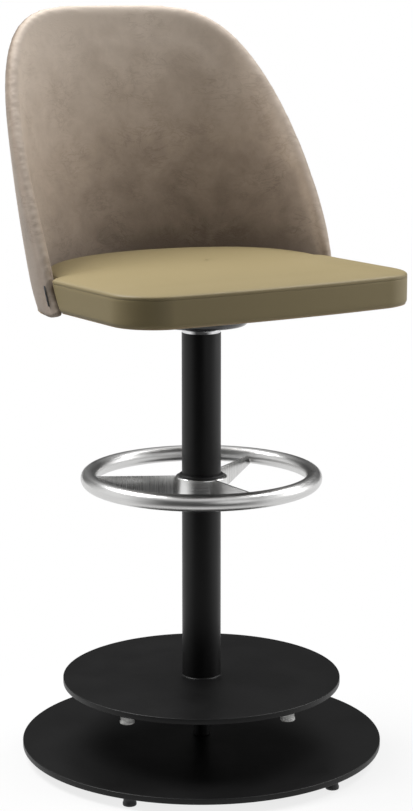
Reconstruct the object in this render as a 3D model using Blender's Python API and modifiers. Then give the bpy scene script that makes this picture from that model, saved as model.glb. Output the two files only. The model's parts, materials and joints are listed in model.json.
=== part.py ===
"""Swivel bar stool: a padded shell back and a leather cushion on a column with a foot ring and two plates."""
import math

import bmesh
import bpy
from mathutils import Matrix, Vector

MM = 0.001

# Fits and facets
GAP = 0.3 * MM
OVERRUN = 2.0 * MM
MERGE_DISTANCE = 0.05 * MM
LARGE_STEPS = 56
ROUND_STEPS = 30
INNER_STEPS = 20
SMALL_STEPS = 8

# Base plates, the post between them and the bolt that ties them
LOWER_PLATE_RADIUS = 280.0 * MM
LOWER_PLATE_THICKNESS = 9.0 * MM
UPPER_PLATE_RADIUS = 216.0 * MM
UPPER_PLATE_THICKNESS = 9.0 * MM
PLATE_EDGE = 0.8 * MM
PLATE_SPACING = 90.0 * MM
POST_RADIUS = 13.0 * MM
TIE_BOLT_RADIUS = 6.0 * MM
TIE_BOLT_HEAD_RADIUS = 10.4 * MM
TIE_BOLT_HEAD = 7.5 * MM
TIE_WASHER_RADIUS = 12.0 * MM
TIE_WASHER_THICKNESS = 2.5 * MM
PLUG_THICKNESS = 20.0 * MM

# Pads under the lower plate and glides under the upper plate
PAD_COUNT = 5
FLOOR_PAD_HEIGHT = 14.7 * MM
FLOOR_PAD_RADIUS = 10.3 * MM
FLOOR_PAD_SETBACK = 18.0 * MM
FLOOR_PAD_FIRST_ANGLE = math.radians(-146.1)
GLIDE_HEIGHT = 11.7 * MM
GLIDE_RADIUS = 11.0 * MM
GLIDE_SETBACK = 12.0 * MM
GLIDE_FIRST_ANGLE = math.radians(-155.2)
PAD_CHAMFER = 1.2 * MM
PAD_STUD_RADIUS = 3.0 * MM
PAD_STUD_BITE = 6.0 * MM
PAD_STEPS = 12

# Column and the turning joint in its top
COLUMN_RADIUS = 30.0 * MM
COLUMN_WALL = 2.5 * MM
COLUMN_LENGTH = 541.0 * MM
CAP_FLANGE = 5.3 * MM
CAP_SPIGOT = 18.0 * MM
CAP_EDGE = 1.0 * MM
THRUST_WASHER_RADIUS = 22.0 * MM
THRUST_WASHER_THICKNESS = 5.5 * MM
SPINDLE_RADIUS = 12.5 * MM
SPINDLE_NECK_RADIUS = 16.0 * MM
SPINDLE_COLLAR_RADIUS = 24.0 * MM
SPINDLE_COLLAR = 6.0 * MM
SPINDLE_SPIGOT_RADIUS = 10.0 * MM
SPINDLE_TAIL = 4.0 * MM
GROOVE_DEPTH = 0.8 * MM
BEARING_DROP = 97.0 * MM
CARRIER_HEIGHT = 14.0 * MM
BUSH_WALL = 3.9 * MM
BUSH_FLANGE_RADIUS = 20.0 * MM
BUSH_FLANGE = 2.0 * MM
RETAINING_RING_RADIUS = 17.0 * MM
RETAINING_RING_THICKNESS = 1.6 * MM
RETAINING_RING_SLIT = 9.0 * MM

# Foot ring
RING_HEIGHT = 438.7 * MM
RING_RADIUS = 172.9 * MM
RING_TUBE_RADIUS = 12.75 * MM
RING_STEPS = 48
RING_TUBE_STEPS = 10
FOOT_BUSH_WALL = 1.3 * MM
FOOT_BUSH_COLLAR_RADIUS = 34.2 * MM
FOOT_BUSH_COLLAR = 7.0 * MM
FOOT_BUSH_SLOPE = 2.5 * MM
HUB_WALL = 7.9 * MM
HUB_HEIGHT = 45.3 * MM
SPOKE_TOP_RISE = 2.0 * MM
SPOKE_ROOT_HEIGHT = 44.7 * MM
SPOKE_TIP_HEIGHT = 13.0 * MM
SPOKE_THICKNESS = 4.0 * MM
SPOKE_END_STEPS = 6
SPOKE_ANGLES = {"left": math.radians(150), "right": math.radians(30), "front": math.radians(-90)}
GRUB_ANGLES = (math.radians(90), math.radians(-30))
GRUB_RADIUS = 3.0 * MM
GRUB_SOCKET_RADIUS = 1.7 * MM
GRUB_SOCKET_DEPTH = 3.0 * MM

# Swivel cover and plate
COVER_WALL = 2.0 * MM
COVER_FLAT_RADIUS = 51.0 * MM
COVER_RIM_RADIUS = 76.0 * MM
COVER_HEIGHT = 32.8 * MM
COVER_LIP = 1.5 * MM
COVER_STEPS = 5
SWIVEL_PLATE_RADIUS = 80.0 * MM
SWIVEL_PLATE_THICKNESS = 5.0 * MM
SWIVEL_PLATE_EDGE = 0.6 * MM
SWIVEL_BOLT_CIRCLE = 56.0 * MM
SWIVEL_BOLT_COUNT = 4
SWIVEL_BOLT_FIRST_ANGLE = math.radians(45)
SWIVEL_BOLT_RADIUS = 3.0 * MM
SWIVEL_BOLT_HEAD_RADIUS = 5.0 * MM
SWIVEL_BOLT_HEAD = 6.0 * MM
T_NUT_BARREL_WALL = 1.4 * MM
T_NUT_FLANGE_RADIUS = 9.0 * MM
T_NUT_FLANGE = 1.5 * MM
T_NUT_LENGTH = 10.0 * MM

# Seat cushion
SEAT_BAND = 48.1 * MM
SEAT_HALF_WIDTH = 251.0 * MM
SEAT_FRONT = 228.0 * MM
SEAT_FRONT_BOW = 7.0 * MM
SEAT_CORNER_RADIUS = 70.0 * MM
SEAT_STEP_RADIUS = 6.0 * MM
SEAT_STEP_GAP = 5.0 * MM
SEAT_BACK_CLEARANCE = 0.7 * MM
SEAT_EDGE_RADIUS = 6.0 * MM
SEAT_CROWN = 13.0 * MM
SEAM_DROP = 6.2 * MM
LEATHER = 1.2 * MM
BOARD_THICKNESS = 12.0 * MM
BAND_TURN_UNDER = 12.0 * MM
DUST_COVER_THICKNESS = 0.9 * MM
DUST_COVER_OPENING_MARGIN = 5.0 * MM
FRONT_STEPS = 3
CORNER_STEPS = 5
STEP_CORNER_STEPS = 2
EDGE_STEPS = 2
CROWN_SHARES = ((0.0, 0.0), (0.008, 0.2), (0.03, 0.42), (0.11, 0.68), (0.32, 0.9), (0.62, 1.0))

# Padded shell of the back: bottom, middle and top of its mid surface
BACK_DROP = 4.9 * MM
BACK_RISE = 431.0 * MM
BACK_THICKNESS = 22.0 * MM
WING_INSET_BOTTOM = 5.1 * MM
WING_SPREAD_MIDDLE = 3.8 * MM
WING_FRONT_BOTTOM = 18.7 * MM
WING_FRONT_MIDDLE = 46.7 * MM
WING_FRONT_TOP = 57.2 * MM
REAR_BOTTOM = 199.2 * MM
REAR_MIDDLE = 239.9 * MM
REAR_TOP = 267.6 * MM
ARCH_START = 49.5 * MM
PLAN_POWER_BOTTOM = 1.866
PLAN_POWER_TOP = 2.797
ARCH_RISE_POWER = 2.33
ARCH_SIDE_POWER = 4.909
COVER_THICKNESS = 2.5 * MM
CORE_THICKNESS = 9.0 * MM
BACK_COLUMNS = 20
BACK_ROWS = 7
RIM_STEPS = 4
LINING_END_RISE = 44.0 * MM
LINING_SLOPE_START_SHARE = 0.70
LINING_SLOPE_END_SHARE = 0.86
FOAM_SIDE_SHARE = 0.9
FOAM_END_RISE = 2.5 * MM
FOAM_GAP = 0.7 * MM
FOAM_RIM_DROP = 5.0 * MM
SURFACE_PROBE = 0.5 * MM
TURN_PROBE_SHARE = 0.004

# Brackets that hold the back to the seat
BRACKET_TURN_SHARES = {"left": -0.5, "middle": 0.0, "right": 0.5}
BRACKET_WIDTH = 30.0 * MM
BRACKET_THICKNESS = 3.0 * MM
BRACKET_UPRIGHT = 34.0 * MM
BRACKET_FOOT = 45.0 * MM
BRACKET_SCREW_RADIUS = 2.5 * MM
BRACKET_SCREW_HEAD_RADIUS = 3.8 * MM
BRACKET_SCREW_HEAD = 2.2 * MM
HEAD_TOP_SHARE = 0.8
BRACKET_SCREW_BITE = 6.5 * MM
FOOT_SCREW_SHARE = 0.62
UPRIGHT_SCREW_SHARE = 0.6

# Heights that follow from the sizes above, from the floor up
LOWER_PLATE_FOOT = FLOOR_PAD_HEIGHT + GAP
LOWER_PLATE_TOP = LOWER_PLATE_FOOT + LOWER_PLATE_THICKNESS
UPPER_PLATE_FOOT = LOWER_PLATE_TOP + PLATE_SPACING
UPPER_PLATE_TOP = UPPER_PLATE_FOOT + UPPER_PLATE_THICKNESS
COLUMN_FOOT = UPPER_PLATE_TOP + GAP
COLUMN_TOP = COLUMN_FOOT + COLUMN_LENGTH
CAP_FOOT = COLUMN_TOP + GAP
THRUST_WASHER_FOOT = CAP_FOOT + CAP_FLANGE + GAP
SWIVEL_COVER_FOOT = THRUST_WASHER_FOOT + THRUST_WASHER_THICKNESS + GAP
SWIVEL_COVER_TOP = SWIVEL_COVER_FOOT + COVER_HEIGHT
SWIVEL_PLATE_FOOT = SWIVEL_COVER_TOP + GAP
SWIVEL_PLATE_TOP = SWIVEL_PLATE_FOOT + SWIVEL_PLATE_THICKNESS
BOARD_FOOT = SWIVEL_PLATE_TOP + GAP
BOARD_TOP = BOARD_FOOT + BOARD_THICKNESS
SEAT_FOOT = BOARD_FOOT - GAP - LEATHER
SEAT_EDGE_HEIGHT = SEAT_FOOT + SEAT_BAND
SEAM_HEIGHT = SEAT_EDGE_HEIGHT - SEAM_DROP
BACK_FOOT = SEAT_FOOT - BACK_DROP
CARRIER_FOOT = COLUMN_TOP - BEARING_DROP - CARRIER_HEIGHT
BUSH_FLANGE_FOOT = CARRIER_FOOT - GAP - BUSH_FLANGE
RETAINING_RING_FOOT = BUSH_FLANGE_FOOT - GAP - RETAINING_RING_THICKNESS

# Radii that follow from the sizes above
COLUMN_BORE = COLUMN_RADIUS - COLUMN_WALL
PLUG_RADIUS = COLUMN_BORE - GAP
TIE_HOLE_RADIUS = TIE_BOLT_RADIUS + GAP
SPINDLE_HOLE_RADIUS = SPINDLE_RADIUS + GAP
LOWER_BUSH_RADIUS = SPINDLE_HOLE_RADIUS + BUSH_WALL
FOOT_BUSH_BORE = COLUMN_RADIUS + GAP
FOOT_BUSH_RADIUS = FOOT_BUSH_BORE + FOOT_BUSH_WALL
HUB_BORE = FOOT_BUSH_RADIUS + GAP
HUB_RADIUS = HUB_BORE + HUB_WALL
HUB_TOP = RING_HEIGHT + SPOKE_TOP_RISE + 2 * GAP
HUB_FOOT = HUB_TOP - HUB_HEIGHT
PAD_STUD_HOLE = PAD_STUD_RADIUS + GAP
FLOOR_PAD_CIRCLE = LOWER_PLATE_RADIUS - FLOOR_PAD_SETBACK
GLIDE_CIRCLE = UPPER_PLATE_RADIUS - GLIDE_SETBACK
COVER_HALF = BACK_THICKNESS / 2
LINING_HALF = COVER_HALF - COVER_THICKNESS
CORE_OUTER = LINING_HALF - GAP
CORE_INNER = CORE_OUTER - CORE_THICKNESS
FOAM_OUTER = CORE_INNER - FOAM_GAP
FOAM_INNER = FOAM_GAP - LINING_HALF
HALF_WIDTH_BOTTOM = SEAT_HALF_WIDTH - WING_INSET_BOTTOM
HALF_WIDTH_MIDDLE = SEAT_HALF_WIDTH + WING_SPREAD_MIDDLE
HALF_WIDTH_TOP = SEAT_HALF_WIDTH
ARCH_FOOT = BACK_FOOT + ARCH_START
ARCH_TOP = BACK_FOOT + BACK_RISE

# Colour, roughness and metallic value of each finish
FINISHES = {
    "black_powder_coat": ((0.012, 0.012, 0.013), 0.5, 0.0),
    "brushed_stainless": ((0.55, 0.54, 0.53), 0.3, 1.0),
    "bright_chrome": ((0.75, 0.75, 0.76), 0.08, 1.0),
    "zinc_steel": ((0.45, 0.45, 0.46), 0.4, 1.0),
    "dark_gloss_plastic": ((0.03, 0.03, 0.035), 0.15, 0.0),
    "black_nylon": ((0.015, 0.015, 0.016), 0.45, 0.0),
    "white_nylon": ((0.7, 0.7, 0.68), 0.45, 0.0),
    "birch_plywood": ((0.55, 0.4, 0.24), 0.6, 0.0),
    "grey_foam": ((0.5, 0.5, 0.48), 0.9, 0.0),
    "black_felt": ((0.02, 0.02, 0.02), 0.95, 0.0),
    "olive_leather": ((0.3, 0.25, 0.11), 0.45, 0.0),
    "taupe_velvet": ((0.27, 0.22, 0.18), 0.9, 0.0),
}


def clear_scene():
    """Empties the file of objects and makes the two collections."""
    for thing in list(bpy.data.objects):
        bpy.data.objects.remove(thing, do_unlink=True)
    for name in ("bar_stool", "cutters"):
        if name not in bpy.data.collections:
            bpy.context.scene.collection.children.link(bpy.data.collections.new(name))


def finish(name):
    """The material of one finish, made the first time it is asked for."""
    if name in bpy.data.materials:
        return bpy.data.materials[name]
    colour, roughness, metallic = FINISHES[name]
    material = bpy.data.materials.new(name)
    material.use_nodes = True
    shader = material.node_tree.nodes["Principled BSDF"]
    shader.inputs["Base Color"].default_value = (*colour, 1.0)
    shader.inputs["Roughness"].default_value = roughness
    shader.inputs["Metallic"].default_value = metallic
    return material


def piece(name, mesh, finish_name, smooth=True):
    """Puts a mesh into the stool's collection as a named sub-part."""
    thing = bpy.data.objects.new(name, mesh)
    bpy.data.collections["bar_stool"].objects.link(thing)
    mesh.materials.clear()
    mesh.materials.append(finish(finish_name))
    if smooth and mesh.polygons:
        mesh.shade_smooth()
        mesh.set_sharp_from_angle(angle=math.radians(35))
    return thing


def turned_mesh(name, profile, closed=True):
    """A chain of edges in the XZ plane, for a Screw modifier to turn about Z."""
    mesh = bpy.data.meshes.new(name)
    count = len(profile)
    edges = [(i, (i + 1) % count) for i in range(count if closed else count - 1)]
    mesh.from_pydata([(radius, 0, height) for radius, height in profile], edges, [])
    return mesh


def add_screw(thing, steps):
    """Turns a profile once round Z."""
    screw = thing.modifiers.new("turn", "SCREW")
    screw.steps = steps
    screw.render_steps = steps
    screw.use_merge_vertices = True
    screw.merge_threshold = MERGE_DISTANCE
    screw.use_smooth_shade = True


def turned(name, profile, finish_name, foot=0.0, steps=ROUND_STEPS, closed=True):
    """A turned piece: its profile of (radius, height) runs down the outer side, and its foot is its place."""
    thing = piece(name, turned_mesh(name, profile, closed), finish_name)
    add_screw(thing, steps)
    thing.location.z = foot
    return thing


def ring_profile(bore, radius, height, edge=0.0):
    """Section of a flat ring with its outer edges broken."""
    if not edge:
        return [(bore, height), (radius, height), (radius, 0), (bore, 0)]
    return [
        (bore, height),
        (radius - edge, height),
        (radius, height - edge),
        (radius, edge),
        (radius - edge, 0),
        (bore, 0),
    ]


def evaluated_mesh(thing):
    """The mesh of an object with its modifiers, its doubles merged and its place applied."""
    bpy.context.view_layer.update()
    graph = bpy.context.evaluated_depsgraph_get()
    mesh = bpy.data.meshes.new_from_object(thing.evaluated_get(graph), depsgraph=graph)
    mesh.transform(thing.matrix_world)
    work = bmesh.new()
    work.from_mesh(mesh)
    bmesh.ops.remove_doubles(work, verts=work.verts, dist=MERGE_DISTANCE)
    work.to_mesh(mesh)
    work.free()
    return mesh


def repeat(pattern, places, finish_name):
    """Puts a copy of a pattern at each named place; the copies share one mesh, and the pattern goes."""
    mesh = evaluated_mesh(pattern)
    bpy.data.objects.remove(pattern, do_unlink=True)
    for name, place in places.items():
        piece(name, mesh, finish_name).matrix_world = place


def numbered(name, places):
    """Names for a list of places: name_1, name_2 and so on."""
    return {f"{name}_{index + 1}": place for index, place in enumerate(places)}


def cut(target, cutter, operation="DIFFERENCE"):
    """Cuts one piece with another, which becomes a hidden cutter."""
    for holder in list(cutter.users_collection):
        holder.objects.unlink(cutter)
    bpy.data.collections["cutters"].objects.link(cutter)
    cutter.hide_render = True
    cutter.display_type = "WIRE"
    boolean = target.modifiers.new(cutter.name, "BOOLEAN")
    boolean.operation = operation
    boolean.solver = "EXACT"
    boolean.object = cutter


def rods(name, places, radius, length, steps=SMALL_STEPS):
    """Cylinders as one object, each standing on its place along the place's own Z."""
    work = bmesh.new()
    for place in places:
        bmesh.ops.create_cone(
            work,
            cap_ends=True,
            segments=steps,
            radius1=radius,
            radius2=radius,
            depth=length,
            matrix=place @ Matrix.Translation((0, 0, length / 2)),
        )
    mesh = bpy.data.meshes.new(name)
    work.to_mesh(mesh)
    work.free()
    return piece(name, mesh, "zinc_steel")


def on_circle(count, first_angle, radius, height):
    """Places spread evenly round the column's axis, each turned to face outwards."""
    spread = [first_angle + index * 2 * math.pi / count for index in range(count)]
    return [at_angle(angle, radius, height) for angle in spread]


def at_angle(angle, radius, height):
    """A place at one angle round the axis, with its X pointing outwards."""
    return Matrix.Rotation(angle, 4, "Z") @ Matrix.Translation((radius, 0, height))


def pan_screw(name, head_radius, head, radius, length, steps=SMALL_STEPS):
    """A screw whose head's underside is at zero, its shank up and its head down."""
    profile = [
        (0, length),
        (radius, length),
        (radius, 0),
        (head_radius, 0),
        (head_radius * HEAD_TOP_SHARE, -head),
        (0, -head),
    ]
    return turned(name, profile, "zinc_steel", steps=steps, closed=False)


def lower_plate():
    profile = ring_profile(TIE_HOLE_RADIUS, LOWER_PLATE_RADIUS, LOWER_PLATE_THICKNESS, PLATE_EDGE)
    plate = turned("lower_plate", profile, "black_powder_coat", LOWER_PLATE_FOOT, LARGE_STEPS)
    places = on_circle(PAD_COUNT, FLOOR_PAD_FIRST_ANGLE, FLOOR_PAD_CIRCLE, LOWER_PLATE_FOOT - OVERRUN)
    cut(plate, rods("lower_plate_holes", places, PAD_STUD_HOLE, OVERRUN + PAD_STUD_BITE + GAP, PAD_STEPS))


def upper_plate():
    profile = ring_profile(TIE_HOLE_RADIUS, UPPER_PLATE_RADIUS, UPPER_PLATE_THICKNESS, PLATE_EDGE)
    plate = turned("upper_plate", profile, "black_powder_coat", UPPER_PLATE_FOOT, LARGE_STEPS)
    places = on_circle(PAD_COUNT, GLIDE_FIRST_ANGLE, GLIDE_CIRCLE, UPPER_PLATE_FOOT - OVERRUN)
    cut(plate, rods("upper_plate_holes", places, PAD_STUD_HOLE, OVERRUN + PAD_STUD_BITE + GAP, PAD_STEPS))


def spacer_post():
    profile = ring_profile(TIE_HOLE_RADIUS, POST_RADIUS, PLATE_SPACING - 2 * GAP)
    turned("spacer_post", profile, "black_powder_coat", LOWER_PLATE_TOP + GAP, INNER_STEPS)


def tie_bolt():
    """The bolt from under the lower plate up through the post into the column's plug, and its washer."""
    washer_foot = LOWER_PLATE_FOOT - GAP - TIE_WASHER_THICKNESS
    turned(
        "tie_bolt_washer",
        ring_profile(TIE_HOLE_RADIUS, TIE_WASHER_RADIUS, TIE_WASHER_THICKNESS),
        "zinc_steel",
        washer_foot,
        INNER_STEPS,
    )
    head_foot = washer_foot - GAP - TIE_BOLT_HEAD
    length = COLUMN_FOOT + PLUG_THICKNESS - OVERRUN - head_foot
    in_head = TIE_BOLT_HEAD / 2
    shank = [(0, length), (TIE_BOLT_RADIUS, length), (TIE_BOLT_RADIUS, in_head), (0, in_head)]
    bolt = turned("tie_bolt", shank, "zinc_steel", head_foot, INNER_STEPS, closed=False)
    place = Matrix.Translation((0, 0, head_foot))
    head = rods("tie_bolt_head", [place], TIE_BOLT_HEAD_RADIUS, TIE_BOLT_HEAD, 6)
    cut(bolt, head, "UNION")


def column():
    """The column tube and the plug welded in its foot, which the tie bolt screws into."""
    turned(
        "column_tube",
        ring_profile(COLUMN_BORE, COLUMN_RADIUS, COLUMN_LENGTH),
        "black_powder_coat",
        COLUMN_FOOT,
    )
    plug = ring_profile(TIE_HOLE_RADIUS, PLUG_RADIUS, PLUG_THICKNESS)
    turned("column_plug", plug, "zinc_steel", COLUMN_FOOT)


def pads(name, radius, height, foot, circle, first_angle, finish_name):
    """Pads spread round a plate, each with the stud that holds it in the plate, all with one mesh."""
    stud_top = height + GAP + PAD_STUD_BITE
    profile = [
        (0, stud_top),
        (PAD_STUD_RADIUS, stud_top),
        (PAD_STUD_RADIUS, height),
        (radius, height),
        (radius, PAD_CHAMFER),
        (radius - PAD_CHAMFER, 0),
        (0, 0),
    ]
    mesh = turned_mesh(name, profile, closed=False)
    for label, place in numbered(name, on_circle(PAD_COUNT, first_angle, circle, foot)).items():
        pad = piece(label, mesh, finish_name)
        pad.matrix_world = place
        add_screw(pad, PAD_STEPS)


def foot_ring():
    """Ring tube, three tapered spokes, hub, the bush inside the hub and the grub screws that clamp it."""
    bpy.ops.mesh.primitive_torus_add(
        major_segments=RING_STEPS,
        minor_segments=RING_TUBE_STEPS,
        major_radius=RING_RADIUS,
        minor_radius=RING_TUBE_RADIUS,
        location=(0, 0, RING_HEIGHT),
    )
    made = bpy.context.object
    tube = piece("foot_ring_tube", made.data, "brushed_stainless")
    tube.location = made.location
    bpy.data.objects.remove(made, do_unlink=True)
    hub = turned(
        "foot_ring_hub",
        ring_profile(HUB_BORE, HUB_RADIUS, HUB_HEIGHT, PLATE_EDGE),
        "brushed_stainless",
        HUB_FOOT,
    )
    screw_height = HUB_FOOT + HUB_HEIGHT / 2
    grub_places = [
        Matrix.Rotation(angle, 4, "Z")
        @ Matrix.Translation((HUB_BORE, 0, screw_height))
        @ Matrix.Rotation(math.pi / 2, 4, "Y")
        for angle in GRUB_ANGLES
    ]
    holes = [place @ Matrix.Translation((0, 0, -GAP)) for place in grub_places]
    cut(hub, rods("grub_holes", holes, GRUB_RADIUS + GAP, HUB_WALL + OVERRUN))
    grub = rods("grub", [Matrix.Identity(4)], GRUB_RADIUS, HUB_WALL)
    socket_foot = Matrix.Translation((0, 0, HUB_WALL - GRUB_SOCKET_DEPTH))
    cut(grub, rods("grub_socket", [socket_foot], GRUB_SOCKET_RADIUS, GRUB_SOCKET_DEPTH + OVERRUN, 6))
    repeat(grub, numbered("foot_ring_grub_screw", grub_places), "zinc_steel")
    collar_foot = HUB_HEIGHT + GAP
    bush_top = collar_foot + FOOT_BUSH_COLLAR
    bush = [
        (FOOT_BUSH_BORE, bush_top),
        (FOOT_BUSH_RADIUS, bush_top),
        (FOOT_BUSH_COLLAR_RADIUS, bush_top - FOOT_BUSH_SLOPE),
        (FOOT_BUSH_COLLAR_RADIUS, collar_foot),
        (FOOT_BUSH_RADIUS, collar_foot),
        (FOOT_BUSH_RADIUS, 0),
        (FOOT_BUSH_BORE, 0),
    ]
    turned("foot_ring_bush", bush, "black_nylon", HUB_FOOT)
    for side, angle in SPOKE_ANGLES.items():
        foot_ring_spoke(f"foot_ring_spoke_{side}", angle)


def foot_ring_spoke(name, angle):
    """A plate on edge: deep at the hub, shallow at the ring, its outer end cut to the tube's round."""
    reach = RING_TUBE_RADIUS + GAP
    top = SPOKE_TOP_RISE
    start = math.pi - math.asin(top / reach)
    end = math.pi - math.asin((top - SPOKE_TIP_HEIGHT) / reach)
    outline = [(HUB_RADIUS + GAP, top)]
    for index in range(SPOKE_END_STEPS + 1):
        turn = start + (end - start) * index / SPOKE_END_STEPS
        outline.append((RING_RADIUS + reach * math.cos(turn), reach * math.sin(turn)))
    outline.append((HUB_RADIUS + GAP, top - SPOKE_ROOT_HEIGHT))
    curve = bpy.data.curves.new(name, "CURVE")
    curve.dimensions = "2D"
    curve.fill_mode = "BOTH"
    curve.extrude = SPOKE_THICKNESS / 2
    spline = curve.splines.new("POLY")
    spline.points.add(len(outline) - 1)
    for point, (across, up) in zip(spline.points, outline):
        point.co = (across, up, 0, 1)
    spline.use_cyclic_u = True
    guide = bpy.data.objects.new(name + "_outline", curve)
    bpy.context.scene.collection.objects.link(guide)
    mesh = evaluated_mesh(guide)
    bpy.data.objects.remove(guide, do_unlink=True)
    spoke = piece(name, mesh, "brushed_stainless", smooth=False)
    spoke.rotation_euler = (math.pi / 2, 0, angle)
    spoke.location.z = RING_HEIGHT


def turning_joint():
    """What the spindle turns in: chrome cap and its bore, thrust washer, carrier and lower bush."""
    cap_height = CAP_SPIGOT + CAP_FLANGE + GAP
    shoulder = cap_height - CAP_FLANGE
    cap = [
        (SPINDLE_HOLE_RADIUS, cap_height),
        (COLUMN_RADIUS - CAP_EDGE, cap_height),
        (COLUMN_RADIUS, cap_height - CAP_EDGE),
        (COLUMN_RADIUS, shoulder),
        (PLUG_RADIUS, shoulder),
        (PLUG_RADIUS, 0),
        (SPINDLE_HOLE_RADIUS, 0),
    ]
    turned("column_cap", cap, "bright_chrome", CAP_FOOT + CAP_FLANGE - cap_height)
    washer = ring_profile(SPINDLE_HOLE_RADIUS, THRUST_WASHER_RADIUS, THRUST_WASHER_THICKNESS)
    turned("thrust_washer", washer, "black_nylon", THRUST_WASHER_FOOT, INNER_STEPS)
    carrier = ring_profile(LOWER_BUSH_RADIUS + GAP, PLUG_RADIUS, CARRIER_HEIGHT)
    turned("bush_carrier", carrier, "zinc_steel", CARRIER_FOOT, INNER_STEPS)
    bush_height = BUSH_FLANGE + GAP + CARRIER_HEIGHT
    bush = [
        (SPINDLE_HOLE_RADIUS, bush_height),
        (LOWER_BUSH_RADIUS, bush_height),
        (LOWER_BUSH_RADIUS, BUSH_FLANGE),
        (BUSH_FLANGE_RADIUS, BUSH_FLANGE),
        (BUSH_FLANGE_RADIUS, 0),
        (SPINDLE_HOLE_RADIUS, 0),
    ]
    turned("lower_bush", bush, "black_nylon", BUSH_FLANGE_FOOT, INNER_STEPS)


def spindle():
    """The stepped shaft under the swivel plate, and the ring in its groove that keeps it in the column."""
    groove_low = RETAINING_RING_FOOT - GAP
    groove_high = BUSH_FLANGE_FOOT
    groove = SPINDLE_RADIUS - GROOVE_DEPTH
    foot = groove_low - SPINDLE_TAIL
    collar_foot = SWIVEL_COVER_FOOT + COVER_WALL + GAP
    shoulder = SWIVEL_PLATE_FOOT - GAP
    steps = [
        (0, SWIVEL_PLATE_TOP),
        (SPINDLE_SPIGOT_RADIUS, SWIVEL_PLATE_TOP),
        (SPINDLE_SPIGOT_RADIUS, shoulder),
        (SPINDLE_NECK_RADIUS, shoulder),
        (SPINDLE_NECK_RADIUS, collar_foot + SPINDLE_COLLAR),
        (SPINDLE_COLLAR_RADIUS, collar_foot + SPINDLE_COLLAR),
        (SPINDLE_COLLAR_RADIUS, collar_foot),
        (SPINDLE_RADIUS, collar_foot),
        (SPINDLE_RADIUS, groove_high),
        (groove, groove_high),
        (groove, groove_low),
        (SPINDLE_RADIUS, groove_low),
        (SPINDLE_RADIUS, foot),
        (0, foot),
    ]
    profile = [(radius, height - foot) for radius, height in steps]
    turned("spindle", profile, "zinc_steel", foot, INNER_STEPS, closed=False)
    ring_section = ring_profile(groove + GAP, RETAINING_RING_RADIUS, RETAINING_RING_THICKNESS)
    ring = turned("retaining_ring", ring_section, "zinc_steel", RETAINING_RING_FOOT, INNER_STEPS)
    bpy.ops.mesh.primitive_cube_add(
        size=1,
        location=(RETAINING_RING_RADIUS, 0, RETAINING_RING_FOOT),
        scale=(2 * RETAINING_RING_RADIUS, RETAINING_RING_SLIT, 2 * (RETAINING_RING_THICKNESS + OVERRUN)),
    )
    slit = bpy.context.object
    slit.name = "retaining_ring_slit"
    cut(ring, slit)


def swivel_cover():
    """The bowl under the seat: flat round the spindle, then a quarter round up to a short straight rim."""
    flare = COVER_RIM_RADIUS - COVER_FLAT_RADIUS
    rise = COVER_HEIGHT - COVER_LIP

    def side(wall):
        steps = [index * math.pi / 2 / COVER_STEPS for index in range(COVER_STEPS + 1)]
        return [
            (COVER_FLAT_RADIUS + (flare - wall) * math.sin(turn), rise - (rise - wall) * math.cos(turn))
            for turn in steps
        ]

    outer = [(COVER_RIM_RADIUS, COVER_HEIGHT)] + side(0)[::-1] + [(SPINDLE_HOLE_RADIUS, 0)]
    inner_rim = (COVER_RIM_RADIUS - COVER_WALL, COVER_HEIGHT)
    inner = [(SPINDLE_HOLE_RADIUS, COVER_WALL)] + side(COVER_WALL) + [inner_rim]
    turned("swivel_cover", outer + inner, "dark_gloss_plastic", SWIVEL_COVER_FOOT)


def swivel_plate():
    """The plate that the seat is screwed to, its four screws and their T-nuts in the board."""
    section = ring_profile(
        SPINDLE_SPIGOT_RADIUS + GAP, SWIVEL_PLATE_RADIUS, SWIVEL_PLATE_THICKNESS, SWIVEL_PLATE_EDGE
    )
    plate = turned("swivel_plate", section, "black_powder_coat", SWIVEL_PLATE_FOOT)
    cut(plate, rods("swivel_plate_holes", swivel_bolts(SWIVEL_PLATE_FOOT - OVERRUN), SWIVEL_BOLT_RADIUS + GAP,
                    SWIVEL_PLATE_THICKNESS + 2 * OVERRUN))
    seat = SWIVEL_PLATE_FOOT - GAP
    screw = pan_screw("swivel_screw", SWIVEL_BOLT_HEAD_RADIUS, SWIVEL_BOLT_HEAD, SWIVEL_BOLT_RADIUS,
                      BOARD_TOP - T_NUT_FLANGE - seat)
    repeat(screw, numbered("swivel_plate_screw", swivel_bolts(seat)), "zinc_steel")
    bore = SWIVEL_BOLT_RADIUS + GAP
    barrel = bore + T_NUT_BARREL_WALL
    t_nut = [
        (bore, T_NUT_LENGTH),
        (T_NUT_FLANGE_RADIUS, T_NUT_LENGTH),
        (T_NUT_FLANGE_RADIUS, T_NUT_LENGTH - T_NUT_FLANGE),
        (barrel, T_NUT_LENGTH - T_NUT_FLANGE),
        (barrel, 0),
        (bore, 0),
    ]
    pattern = turned("t_nut", t_nut, "zinc_steel", steps=SMALL_STEPS)
    repeat(pattern, numbered("t_nut", swivel_bolts(BOARD_TOP - T_NUT_LENGTH)), "zinc_steel")


def swivel_bolts(height):
    """Places of the four seat screws at one height."""
    return on_circle(SWIVEL_BOLT_COUNT, SWIVEL_BOLT_FIRST_ANGLE, SWIVEL_BOLT_CIRCLE, height)


def through_levels(bottom, middle, top, share):
    """The value at a share of the rise, on the parabola through three values."""
    return (
        bottom * (1 - share) * (1 - 2 * share)
        + middle * 4 * share * (1 - share)
        + top * share * (2 * share - 1)
    )


def column_ratio(turn):
    """Share of the half width where a column of the back's grid stands; turn runs from -1 to 1."""
    return math.sin(turn * math.pi / 2)


def rim_height(turn):
    """Height where a column of the grid meets the arched rim."""
    level_share = max(0.0, 1 - abs(column_ratio(turn)) ** ARCH_SIDE_POWER) ** (1 / ARCH_RISE_POWER)
    return ARCH_FOOT + (ARCH_TOP - ARCH_FOOT) * level_share


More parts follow.
